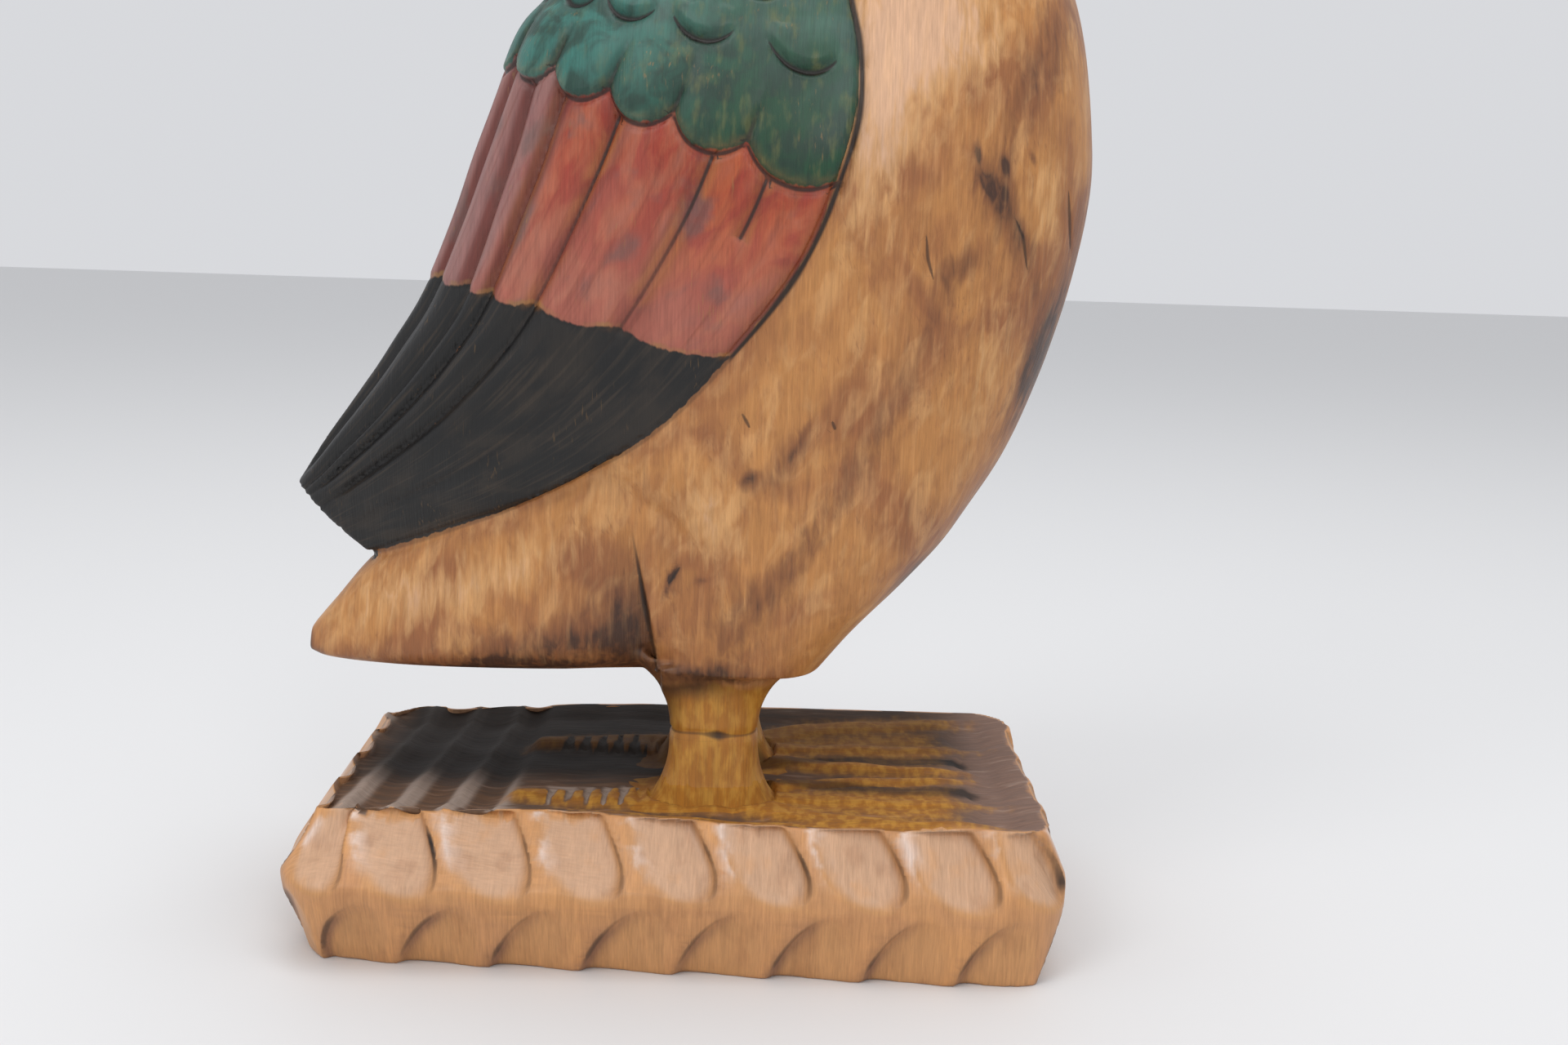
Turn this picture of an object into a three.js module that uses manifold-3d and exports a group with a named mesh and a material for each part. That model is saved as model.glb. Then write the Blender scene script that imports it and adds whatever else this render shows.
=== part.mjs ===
// A carved and painted wooden swan, standing on a hewn plinth, all cut from one block of wood.
// Millimetres, +Z up, the bird faces +X, and the origin is the centre of the plinth's underside.
import * as THREE from "three";
import { mergeVertices } from "three/addons/utils/BufferGeometryUtils.js";
import Module from "manifold-3d";

const wasm = await Module();
wasm.setup();

// Driving sizes
const PLINTH = {
  halfLength: 122,
  halfDepth: 72,
  height: 46,
  ridge: 27, // height of its widest line
  cornerRadius: 22,
  topInset: 8,
  topToBack: 5, // how far the top sits towards the far side
  topToFront: 3, // how far it sits towards the beak end
  bottomInset: 5.5,
  bottomSkew: 5, // how much more the near side draws in at the tail end than at the beak end
  dish: 3, // how far the ground sinks round the feet
  dishMargin: 5,
};
const SCOOP = {
  pitch: 28, // one gouge cut to the next along the sides
  depth: 3.6,
  upperLean: -0.4, // how far a cut leans along the side for each millimetre of height
  lowerLean: 0.2,
  lowerStart: 0.35, // how far the lower row runs ahead of the upper one, counted in cuts
  columnsPerCut: 4,
};
const FLUTE = { first: -99, pitch: 17.5, count: 4, radius: 11, depth: 3.2 };
const BELLY = 87.5; // height of the flat under the belly and the tail
const CREASE = { x: -8.5, depth: 8, length: 30, rise: 50, side: 41, sideAbove: 51 };
const LEG = { x: 10.5, y: 24 };
const WING = {
  sinkAtBack: 6, // groove between the two wings along the back
  grooveDepth: 1.9,
  grooveWidth: 0.022,
  rowsAlong: 16,
};
// Where the feather grooves run, as shares of the way round from the back to the wing's front edge
const FEATHER_GROOVES = [0.1, 0.21, 0.315, 0.42, 0.566, 0.772, 0.885];

const SLIVER = 0.05; // the joins' facets thinner than this are closed up

const WOOD = { color: 0xb98a58, roughness: 0.55, metalness: 0 };

// Body from the belly to the bill's tip: front x and z, back x and z, half width, squareness
const BODY_STATIONS = [
  [44.5, BELLY, -9, BELLY, 43, 3.4],
  [55, 100, -11, 100, 47, 3.2],
  [72, 117, -13.5, 117, 50.5, 2.8],
  [86.5, 134, -23, 134, 53, 2.6],
  [102, 158, -62, 158, 56, 2.35],
  [113, 185, -74, 185, 58, 2.3],
  [121, 214, -66, 214, 59, 2.3],
  [125.3, 243, -55, 243, 58, 2.3],
  [123, 273, -42, 273, 54, 2.3],
  [117, 301, -22, 301, 47, 2.2],
  [104, 327, 0, 327, 38, 2.1],
  [88, 350, 12, 350, 30.5, 2.05],
  [74, 374, 20, 373, 25, 2],
  [67, 399, 24, 398, 21.5, 2],
  [66, 425, 26, 425, 19.5, 2],
  [71, 448, 28, 452, 19, 2],
  [82, 463, 37, 481, 20, 2],
  [95, 470, 56, 503, 22, 2],
  [108, 472, 80, 513, 22, 2],
  [119, 473, 101, 509, 19.5, 2],
  [126, 473, 117, 499, 15, 2.1],
  [138, 469, 134, 489, 12.5, 2.3],
  [152, 462, 151, 479, 13, 2.5],
  [163, 457, 165, 468, 10.5, 2.5],
  [167, 457, 169, 463, 5, 2.3],
];
// Tail from its tip to inside the body: x, top z, bottom z, half width at the top and at the bottom
const TAIL_STATIONS = [
  [-120, 95.5, 87, 19, 22],
  [-114, 103, 85.5, 22, 27],
  [-100, 119, 84.5, 26, 33],
  [-80, 132, 84, 34, 37],
  [-50, 150, 84.2, 43, 40],
  [-20, 164, 85, 49, 41],
  [12, 170, 86, 51, 42],
];
// Wing from shoulder to tip: share along it, back x and z, front x and z, half width at the front and at the back
const WING_STATIONS = [
  [0.0, 4, 325, 8, 325, 24, 22],
  [0.1, -27, 314, 37, 309, 42, 3],
  [0.2, -41, 304, 46, 288, 52, 1.5],
  [0.3, -50, 293, 48.5, 265, 58, 1.5],
  [0.4, -58, 281.6, 44.2, 244.3, 61, 1.5],
  [0.5, -69, 252, 33, 216, 61.5, 1.5],
  [0.6, -84.5, 209.6, 11.9, 187.3, 60, 1.5],
  [0.7, -96, 189, -12, 163, 56, 1.5],
  [0.8, -108, 171, -42, 144, 48, 1.5],
  [0.9, -119, 156, -72, 131, 36, 1.5],
  [1.0, -128.5, 142.5, -100.5, 120, 24, 1.5],
];
// Leg from inside the plinth to inside the belly: z, half size along the bird and across it
const LEG_STATIONS = [
  [38, 26, 18],
  [45.5, 19, 14.5],
  [52, 16, 12.5],
  [58, 14.6, 12],
  [66.5, 14.2, 11.8],
  [68, 13.2, 10.8],
  [69.5, 14.2, 11.8],
  [76, 15.6, 12.4],
  [83, 19.5, 14.5],
  [90, 27, 19],
];
const COVERT = { rise: 2.6, root: 9, length: 1.15, tilt: 0.1 };
// Rows of covert feathers: share along the wing, and how many feathers lie side by side
const COVERT_ROWS = [
  { along: 0.338, count: 5, size: 12.5 },
  { along: 0.235, count: 4, size: 11 },

];
// Toes of one foot, from its own leg outwards: end x and y, half width at the leg and at the tip
const TOES = [
  { x: 104, y: 54, root: 8, tip: 4.5 },
  { x: 109, y: 32, root: 8, tip: 4.5 },
  { x: 98, y: 7, root: 8, tip: 4.5 },
  { x: -50, y: 26, root: 11, tip: 4 },
];
const TOE_TOP = 48.5;
const WEB_TOP = 46;

// Smooth value of each column at t, through rows whose first number is the place along them
function through(rows) {
  const slope = (i, k) => {
    const a = rows[Math.max(i - 1, 0)];
    const b = rows[Math.min(i + 1, rows.length - 1)];
    return (b[k] - a[k]) / (b[0] - a[0]);
  };
  return (t) => {
    let i = 0;
    while (i < rows.length - 2 && t > rows[i + 1][0]) i += 1;
    const step = rows[i + 1][0] - rows[i][0];
    const q = Math.min(Math.max((t - rows[i][0]) / step, 0), 1);
    return rows[i].slice(1).map((value, n) => {
      const k = n + 1;
      const next = rows[i + 1][k];
      const q2 = q * q;
      const q3 = q2 * q;
      return (
        (2 * q3 - 3 * q2 + 1) * value +
        (q3 - 2 * q2 + q) * step * slope(i, k) +
        (3 * q2 - 2 * q3) * next +
        (q3 - q2) * step * slope(i + 1, k)
      );
    });
  };
}

const numbered = (rows) => rows.map((row, i) => [i / (rows.length - 1), ...row]);

// Cosine and sine of an angle, drawn out towards a square as power grows
function squared(angle, power) {
  const c = Math.cos(angle);
  const s = Math.sin(angle);
  const grow = (v) => Math.sign(v) * Math.abs(v) ** (2 / power);
  return [grow(c), grow(s)];
}

function solidOf(geometry) {
  const bare = geometry.clone();
  bare.deleteAttribute("normal");
  bare.deleteAttribute("uv");
  const merged = mergeVertices(bare, 1e-4);
  const made = new wasm.Manifold(
    new wasm.Mesh({
      numProp: 3,
      vertProperties: new Float32Array(merged.attributes.position.array),
      triVerts: new Uint32Array(merged.index.array),
    }),
  );
  if (made.volume() > 0) return made;
  merged.index.array.reverse();
  return new wasm.Manifold(
    new wasm.Mesh({
      numProp: 3,
      vertProperties: new Float32Array(merged.attributes.position.array),
      triVerts: new Uint32Array(merged.index.array),
    }),
  );
}

// A closed skin over rings: ring(u, angle) is a point for u from 0 to 1, and the two ends are flat
function loft(rings, columns, ring) {
  const skin = new THREE.SphereGeometry(1, columns, rings + 2);
  const place = skin.attributes.position;
  for (let row = 0; row <= rings + 2; row += 1) {
    const u = Math.min(Math.max((row - 1) / rings, 0), 1);
    const around = [];
    for (let i = 0; i < columns; i += 1) around.push(ring(u, (i / columns) * 2 * Math.PI));
    const middle = [0, 1, 2].map((k) => around.reduce((sum, p) => sum + p[k], 0) / columns);
    for (let i = 0; i <= columns; i += 1) {
      const end = row === 0 || row === rings + 2;
      place.setXYZ(row * (columns + 1) + i, ...(end ? middle : around[i % columns]));
    }
  }
  return solidOf(skin);
}

const mirrored = (solid) => solid.mirror([0, 1, 0]);

function body() {
  const at = through(numbered(BODY_STATIONS));
  return loft(44, 24, (u, angle) => {
    const [fx, fz, bx, bz, half, power] = at(u);
    const [c, s] = squared(angle, power);
    return [
      (fx + bx) / 2 + ((fx - bx) / 2) * c,
      half * s,
      (fz + bz) / 2 + ((fz - bz) / 2) * c,
    ];
  });
}

function tail() {
  const at = through(TAIL_STATIONS);
  const [first] = TAIL_STATIONS[0];
  const [last] = TAIL_STATIONS[TAIL_STATIONS.length - 1];
  return loft(7, 16, (u, angle) => {
    const x = first + (last - first) * u;
    const [top, bottom, halfTop, halfBottom] = at(x);
    const [c, s] = squared(angle, 4.5);
    return [
      x,
      c * (halfBottom + ((halfTop - halfBottom) * (s + 1)) / 2),
      (top + bottom) / 2 + ((top - bottom) / 2) * s,
    ];
  });
}

const wingAt = through(WING_STATIONS);

// How deep the feather grooves are at a share of the way round the wing
function feathering(across) {
  const near = Math.min(...FEATHER_GROOVES.map((g) => Math.abs(across - g)));
  return WING.grooveDepth * Math.max(0, 1 - near / WING.grooveWidth);
}

// A point of the wing's outer face on the side of -Y, along from shoulder to tip and across from back to front
function onWing(along, across, raise = 0) {
  const [bx, bz, fx, fz, edge, inner] = wingAt(along);
  const width = Math.hypot(fx - bx, fz - bz);
  const out = 1 - Math.cos((across * Math.PI) / 2);
  const rise = (1 - (1 - out) ** 2.3) ** (1 / 2.3);
  const y = inner + (edge - inner) * rise;
  const sunk = (WING.sinkAtBack / Math.max(width, 20)) * Math.exp(-((y / 7) ** 2));
  const share = out + (along > 0.05 ? sunk : 0);
  const lift = raise - feathering(across) * Math.min(1, Math.max(0, (along - 0.3) / 0.1));
  const turn = (across * Math.PI) / 2;
  return [
    bx + (fx - bx) * share - Math.cos(turn) * lift,
    -(y + Math.sin(turn) * lift),
    bz + (fz - bz) * share,
  ];
}

// Columns that hit every groove and the crest beside it
function wingColumns() {
  const edges = [0, ...FEATHER_GROOVES, 1];
  const columns = [];
  edges.forEach((edge, i) => {
    columns.push(edge);
    if (i === edges.length - 1) return;
    const room = edges[i + 1] - edge;
    columns.push(edge + Math.min(WING.grooveWidth, room / 3));
    columns.push(edges[i + 1] - Math.min(WING.grooveWidth, room / 3));
  });
  return columns;
}

// Both wings as one block whose two broad faces are the wings' outer faces
function wings() {
  const columns = wingColumns();
  const rows = WING.rowsAlong;
  const block = new THREE.BoxGeometry(1, 1, 1, columns.length - 1, 1, rows);
  const place = block.attributes.position;
  for (let i = 0; i < place.count; i += 1) {
    const column = Math.round((place.getX(i) + 0.5) * (columns.length - 1));
    const [x, y, z] = onWing(place.getZ(i) + 0.5, columns[column]);
    place.setXYZ(i, x, place.getY(i) < 0 ? y : -y, z);
  }
  return solidOf(block);
}

// One covert feather: a low dome that lies on the wing and stands proud at its lower end
function covert(along, across, size) {
  const dome = new THREE.SphereGeometry(1, 8, 6);
  const here = new THREE.Vector3(...onWing(along, across));
  const down = new THREE.Vector3(...onWing(along + 0.02, across)).sub(here).normalize();
  const side = new THREE.Vector3(...onWing(along, Math.min(across + 0.03, 1)));
  side.sub(new THREE.Vector3(...onWing(along, across - 0.03))).normalize();
  const out = new THREE.Vector3().crossVectors(side, down).normalize();
  if (out.y > 0) out.negate();
  side.crossVectors(down, out);
  dome.rotateX(Math.PI / 2);
  const place = dome.attributes.position;
  for (let i = 0; i < place.count; i += 1) {
    const height = place.getZ(i) * (place.getZ(i) < 0 ? COVERT.root : COVERT.rise);
    place.setXYZ(i, place.getX(i) * size, place.getY(i) * size * COVERT.length, height);
  }
  dome.rotateX(COVERT.tilt);
  dome.applyMatrix4(new THREE.Matrix4().makeBasis(side, down, out));
  dome.translate(...here.toArray());
  return solidOf(dome);
}

function coverts() {
  const made = [];
  for (const { along, count, size } of COVERT_ROWS) {
    for (let i = 0; i < count; i += 1) {
      const across = 0.25 + (0.68 * (i + 0.5)) / count;
      made.push(covert(along, across, size));
    }
  }
  return made;
}

// The hollow behind the thigh, deepest at the belly and gone a little above it
function crease() {
  const low = BELLY - 3;
  return loft(2, 4, (u, angle) => {
    const side = CREASE.side + (CREASE.sideAbove - CREASE.side) * u;
    const outside = CREASE.sideAbove + 15;
    const corners = [
      [CREASE.x + 1.5, outside],
      [CREASE.x, side - CREASE.depth * (1 - u)],
      [CREASE.x - CREASE.length, side + 0.5],
      [CREASE.x - CREASE.length, outside],
    ];
    const [x, y] = corners[Math.round((angle / (2 * Math.PI)) * corners.length) % corners.length];
    return [x, -y, low + CREASE.rise * u];
  });
}

function leg() {
  const at = through(LEG_STATIONS);
  const [low] = LEG_STATIONS[0];
  const [high] = LEG_STATIONS[LEG_STATIONS.length - 1];
  return loft(12, 12, (u, angle) => {
    const z = low + (high - low) * u;
    const [alongHalf, acrossHalf] = at(z);
    const [c, s] = squared(angle, 2.8);
    return [LEG.x + alongHalf * c, -LEG.y + acrossHalf * s, z];
  });
}

function toe({ x, y, root, tip }) {
  const low = PLINTH.height - PLINTH.dish - 4;
  return loft(4, 8, (u, angle) => {
    const [c, s] = squared(angle, 2);
    const half = root + (tip - root) * u;
    const length = Math.hypot(x - LEG.x, y - LEG.y);
    const middle = [LEG.x + (x - LEG.x) * u, -(LEG.y + (y - LEG.y) * u)];
    const across = [(y - LEG.y) / length, (x - LEG.x) / length];
    const height = (TOE_TOP - low) * (1 - 0.22 * u * u);
    return [
      middle[0] + across[0] * half * c,
      middle[1] + across[1] * half * c,
      low + height * (0.5 + 0.5 * s),
    ];
  });
}

// The web between the three front toes, with its edge hollowed from tip to tip
function web() {
  const [outer, mid, inner] = TOES;
  const outline = new THREE.Shape();
  outline.moveTo(LEG.x, -LEG.y);
  outline.lineTo(outer.x - 6, -outer.y);
  outline.quadraticCurveTo(90, -43, mid.x - 5, -mid.y);
  outline.quadraticCurveTo(88, -20, inner.x - 5, -inner.y);
  outline.closePath();
  const low = PLINTH.height - PLINTH.dish - 3;
  const slab = new THREE.ExtrudeGeometry(outline, {
    depth: WEB_TOP - low,
    bevelEnabled: false,
    curveSegments: 4,
  });
  slab.translate(0, 0, low);
  return solidOf(slab);
}

// The plinth's widest outline at a distance along it: x, y and the direction outwards
function aroundPlinth(along) {
  const radius = PLINTH.cornerRadius;
  const straightX = 2 * (PLINTH.halfLength - radius);
  const straightY = 2 * (PLINTH.halfDepth - radius);
  const corner = (Math.PI / 2) * radius;
  const half = straightX + straightY + 2 * corner;
  const opposite = along >= half;
  let left = along % half;
  let x = straightX / 2 - left;
  let y = PLINTH.halfDepth;
  let angle = Math.PI / 2;
  if (left > straightX) {
    left -= straightX;
    const turn = Math.min(left / radius, Math.PI / 2);
    angle += turn;
    x = -straightX / 2 + radius * Math.cos(angle);
    y = straightY / 2 + radius * Math.sin(angle);
    left -= corner;
    if (left > 0) y = Math.max(straightY / 2 - left, -straightY / 2);
    left -= straightY;
    if (left > 0) {
      angle += left / radius;
      x = -straightX / 2 + radius * Math.cos(angle);
      y = -straightY / 2 + radius * Math.sin(angle);
    }
  }
  const way = opposite ? -1 : 1;
  return [way * x, way * y, way * Math.cos(angle), way * Math.sin(angle)];
}

// How deep the gouge cuts are on a plinth side, at a place counted in cuts and a height
function scoop(cut, z) {
  const upper = z > PLINTH.ridge;
  const middle = upper ? PLINTH.ridge + 9 : PLINTH.ridge - 15;
  const lean = ((upper ? SCOOP.upperLean : SCOOP.lowerLean) * (z - middle)) / SCOOP.pitch;
  const place = cut - lean + (upper ? 0 : SCOOP.lowerStart);
  const side = 2 * (place - Math.floor(place)) - 1;
  const up = (z - middle) / (upper ? 13 : 16);
  return SCOOP.depth * Math.max(0, 1 - 0.85 * side * side - 0.7 * up * up);
}

function plinth() {
  const total =
    4 * (PLINTH.halfLength + PLINTH.halfDepth) - (8 - 2 * Math.PI) * PLINTH.cornerRadius;
  const cuts = Math.round(total / SCOOP.pitch);
  const heights = [0, 9, 18, PLINTH.ridge, 36, PLINTH.height];
  const profile = through([
    [0, PLINTH.bottomInset],
    [9, PLINTH.bottomInset - 2.5],
    [PLINTH.ridge, 0],
    [36, 4],
    [PLINTH.height, PLINTH.topInset],
  ]);
  const rings = heights.length;
  return loft(rings, cuts * SCOOP.columnsPerCut, (u, angle) => {
    const share = angle / (2 * Math.PI);
    const [x, y, outX, outY] = aroundPlinth(share * total);
    const row = Math.round(u * rings);
    const ground = row === rings;
    const z = ground ? PLINTH.height : heights[row];
    const low = Math.max(0, 1 - z / PLINTH.ridge);
    const high = Math.max(0, (z - PLINTH.ridge) / (PLINTH.height - PLINTH.ridge));
    const skew = (Math.max(0, -outY) * PLINTH.bottomSkew * -x) / PLINTH.halfLength;
    const shift = -outY * PLINTH.topToBack - outX * PLINTH.topToFront;
    const inset = profile(z)[0] + low * skew + high * shift;
    const back = inset + (ground ? PLINTH.dishMargin : scoop(share * cuts, z));
    return [x - outX * back, y - outY * back, z - (ground ? PLINTH.dish : 0)];
  });
}

// Gouge flutes across the plinth's top behind the bird
function flutes() {
  return Array.from({ length: FLUTE.count }, (_, i) => {
    const rod = new THREE.CylinderGeometry(FLUTE.radius, FLUTE.radius, 2 * PLINTH.halfDepth + 20, 12);
    const above = PLINTH.height + FLUTE.radius - FLUTE.depth;
    rod.translate(FLUTE.first + i * FLUTE.pitch, 0, above);
    return solidOf(rod);
  });
}

const joined = (solids) => solids.reduce((whole, next) => whole.add(next));

function swan() {
  const oneSide = joined([...coverts(), leg(), ...TOES.map(toe), web()]);
  const cutFrom = (whole, cuts) => cuts.reduce((left, cut) => left.subtract(cut), whole);
  const trunk = cutFrom(joined([body(), tail()]), [crease(), mirrored(crease())]);
  const ground = cutFrom(plinth(), flutes());
  return joined([ground, trunk, wings(), oneSide, mirrored(oneSide)]);
}

function meshOf(name, solid, finish) {
  const { numProp, numVert, vertProperties, triVerts } = solid.simplify(SLIVER).getMesh();
  const place = new Float32Array(numVert * 3);
  for (let i = 0; i < numVert; i += 1) {
    place.set(vertProperties.subarray(i * numProp, i * numProp + 3), i * 3);
  }
  const geometry = new THREE.BufferGeometry();
  geometry.setAttribute("position", new THREE.BufferAttribute(place, 3));
  geometry.setIndex(new THREE.BufferAttribute(triVerts, 1));
  geometry.computeVertexNormals();
  const mesh = new THREE.Mesh(geometry, new THREE.MeshStandardMaterial(finish));
  mesh.name = name;
  return mesh;
}

const figurine = new THREE.Group();
figurine.add(meshOf("carved_swan", swan(), WOOD));
export default figurine;
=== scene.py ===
"""A standing swan carved from one block of wood, painted and varnished.

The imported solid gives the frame. The same forms are built here again, melted into one block, and
then cut finely: feathers, scalloped coverts, gouge cuts, toes, checks and knots. The block is bare
varnished wood with green, red, black and ochre stain. Shapes are worked out in millimetres, in the
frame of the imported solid, and the finished mesh is in metres.
"""

from __future__ import annotations

import logging
import math
from dataclasses import dataclass
from enum import Enum
from functools import partial
from typing import Callable

import bmesh
import bpy
import numpy as np
from mathutils import Matrix, Vector
from mathutils.kdtree import KDTree

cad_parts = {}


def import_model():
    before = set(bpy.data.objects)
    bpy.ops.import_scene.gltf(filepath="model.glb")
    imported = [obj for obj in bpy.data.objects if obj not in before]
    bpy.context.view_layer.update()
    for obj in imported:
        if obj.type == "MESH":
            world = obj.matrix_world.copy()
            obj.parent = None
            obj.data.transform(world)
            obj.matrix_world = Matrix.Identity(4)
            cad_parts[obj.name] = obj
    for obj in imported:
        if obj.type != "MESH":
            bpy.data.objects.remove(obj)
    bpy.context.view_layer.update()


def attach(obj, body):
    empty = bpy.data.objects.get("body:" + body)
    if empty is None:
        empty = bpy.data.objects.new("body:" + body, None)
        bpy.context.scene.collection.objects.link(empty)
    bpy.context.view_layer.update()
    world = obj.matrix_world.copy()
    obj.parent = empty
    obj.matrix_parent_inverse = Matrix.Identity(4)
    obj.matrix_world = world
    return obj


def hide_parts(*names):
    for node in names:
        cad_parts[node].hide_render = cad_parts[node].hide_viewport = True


LOG = logging.getLogger("swan")
MM = 0.001
WING_PLACE = "wing_place"
FREE_GROUP = "may_be_thinned"
FAR_OUTSIDE = -20.0
NO_LINE = 99.0
ENDLESS = 1e9
Array = np.ndarray
Form = bmesh.types.BMesh
Socket = bpy.types.NodeSocket
Rows = tuple[tuple[float, ...], ...]
Ring = Callable[[Array, Array], Array]


class Mark(Enum):
    """Surface facts kept on the mesh's points for the finish to read."""

    WING = "wing_mm"
    GREEN = "green_mm"
    BLACK = "black_mm"
    LINE = "line_widths"
    DARK = "line_dark"
    # Painted shade in hollows: the wings' feather valleys and folds, and the steep walls of the
    # plinth's cuts
    VALLEY = "valley"
    TINT = "tint"
    OCHRE = "ochre_mm"
    GROUND = "ground_mm"
    # Pinker cuts on the sides; on the ground, the flutes' ridges with a painted sheen, and the
    # nicks
    GOUGE = "gouge"
    # Heart wood above 0; pale patches below 0, including a painted sheen on the upper breast
    HEART = "heart"
    EYE = "eye_mm"
    # Soot and stain, with painted shade in the crease, on the legs and on the ground under the bird
    SOOT = "soot"
    # Wear on the wings; on the plinth, painted highlights on the cut rims, with some wear
    RUB = "rub"


# Marks that start far outside, and those above or below 0 that one part alone gives
DISTANCES = (Mark.WING, Mark.OCHRE, Mark.EYE, Mark.GROUND)
SIGNED = (Mark.HEART, Mark.GREEN, Mark.BLACK)
Marks = dict[Mark, Array]


def ease(low: float, high: float, value: Array) -> Array:
    """Rise smoothly from 0 where value is low to 1 where it is high."""
    t = np.clip((value - low) / (high - low), 0.0, 1.0)
    return t * t * (3.0 - 2.0 * t)


def bell(distance: Array, width: float) -> Array:
    """Give 1 at no distance, falling away over width as a rounded cut does."""
    return np.exp(-((distance / width) ** 2))


def chance(index: Array, turn: float) -> Array:
    """Give each whole number its own fixed value from 0 to 1."""
    return np.mod(np.sin(index * 12.9898 + turn * 78.233) * 43758.5453, 1.0)


def ripple(points: Array, length: float, turn: float) -> Array:
    """Give a slow unevenness from -1 to 1 over the block, as a hand tool leaves it.

    Args:
        points: Places in millimetres.
        length: The length of one swell in millimetres.
        turn: Which of many patterns to use.

    Returns:
        One value for each place.
    """
    x, y, z = (points / length * 2.0 * math.pi).T
    return (
        np.sin(x + 1.3 * np.sin(0.7 * z + turn))
        + np.sin(1.21 * y + 1.1 * np.sin(0.9 * x + 2.0 * turn))
        + np.sin(0.83 * z + 1.7 * np.sin(0.6 * y + 3.0 * turn))
    ) / 3.0


def along_line(points: Array, line: Rows) -> tuple[Array, Array]:
    """Measure points against a line of straight runs in a plane.

    Args:
        points: Places in the plane.
        line: The corners of the line.

    Returns:
        The distance of each place from the line, less than 0 on its right, and how far along
        the line its nearest point is, from 0 to 1.
    """
    corners = np.array(line)
    runs = np.linalg.norm(np.diff(corners, axis=0), axis=1)
    done = np.concatenate([[0.0], np.cumsum(runs)])
    best = np.full(len(points), np.inf)
    share = np.zeros(len(points))
    for i, run in enumerate(runs):
        way = (corners[i + 1] - corners[i]) / run
        off = points - corners[i]
        t = np.clip(off @ way, 0.0, run)
        gap = np.linalg.norm(off - t[:, None] * way, axis=1)
        side = np.where(way[0] * off[:, 1] - way[1] * off[:, 0] < 0, -1.0, 1.0)
        nearer = gap < np.abs(best)
        best = np.where(nearer, gap * side, best)
        share = np.where(nearer, (done[i] + t) / done[-1], share)
    return best, share


@dataclass(frozen=True)
class Curve:
    """Smooth values through rows whose first number is the place along them."""

    rows: Rows

    def at(self, place: Array) -> Array:
        """Give one row of values for each place along the rows.

        Args:
            place: Where along the rows to look.

        Returns:
            The values, without the first number.
        """
        table = np.array(self.rows, dtype=float)
        where, value = table[:, 0], table[:, 1:]
        last = len(where) - 1
        i = np.clip(np.searchsorted(where, place, side="right") - 1, 0, last - 1)
        before = np.maximum(np.arange(last + 1) - 1, 0)
        after = np.minimum(np.arange(last + 1) + 1, last)
        slope = (value[after] - value[before]) / (where[after] - where[before])[:, None]
        step = (where[i + 1] - where[i])[:, None]
        q = np.clip((place - where[i])[:, None] / step, 0.0, 1.0)
        return (
            (2 * q**3 - 3 * q**2 + 1) * value[i]
            + (q**3 - 2 * q**2 + q) * step * slope[i]
            + (3 * q**2 - 2 * q**3) * value[i + 1]
            + (q**3 - q**2) * step * slope[i + 1]
        )


@dataclass(frozen=True)
class Cut:
    """A rounded cut: its depth in the middle and half its width, in millimetres."""

    depth: float
    half: float

    def at(self, gap: Array) -> Array:
        """Give how deep the cut is at a distance from its middle."""
        return self.depth * bell(gap, self.half)


class Skin:
    """Places on the block in millimetres, with the way each of them faces."""

    def __init__(self, points: Array, normals: Array) -> None:
        """Keep the places, and their parts along each axis.

        Args:
            points: The places, one to a row.
            normals: The way each of them faces.
        """
        self.points, self.normals = points, normals
        self.x, self.y, self.z = points.T
        self.side = points[:, [0, 2]]
        self.on_wing: WingPlace | None = None

    def pick(self, where: Array) -> Skin:
        """Give some of the places alone."""
        return Skin(self.points[where], self.normals[where])


class Pen:
    """The dark lines on a surface: at each place the nearest line and how dark it is."""

    FULL_TO = 1.7
    GONE_AT = 2.6
    LEAST = 0.01

    def __init__(self, count: int) -> None:
        """Start with no lines, and with every place picked.

        Args:
            count: How many places there are.
        """
        self.gap = np.full(count, NO_LINE)
        self.width = np.ones(count)
        self.dark = np.zeros(count)
        self.where = np.ones(count, dtype=bool)

    def draw(self, gap: Array, width: float | Array, dark: float | Array) -> None:
        """Draw one line where it is nearer than those that are drawn, on the places picked.

        Args:
            gap: Distance of each place from the line in millimetres, with a sign for its side.
            width: Half the line's width in millimetres.
            dark: How dark the line is at each place, from 0 to 1.
        """
        shown = np.broadcast_to(dark, gap.shape) * ease(self.GONE_AT, self.FULL_TO, np.abs(gap))
        nearer = (shown > self.LEAST) & (np.abs(gap) < np.abs(self.gap[self.where]))
        for kept, new in ((self.gap, gap), (self.width, width), (self.dark, shown)):
            kept[self.where] = np.where(nearer, new, kept[self.where])


def squared(angle: Array, power: Array | float) -> list[Array]:
    """Give a cosine and sine drawn out towards a square as power grows."""
    return [np.sign(v) * np.abs(v) ** (2.0 / power) for v in (np.cos(angle), np.sin(angle))]


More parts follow.
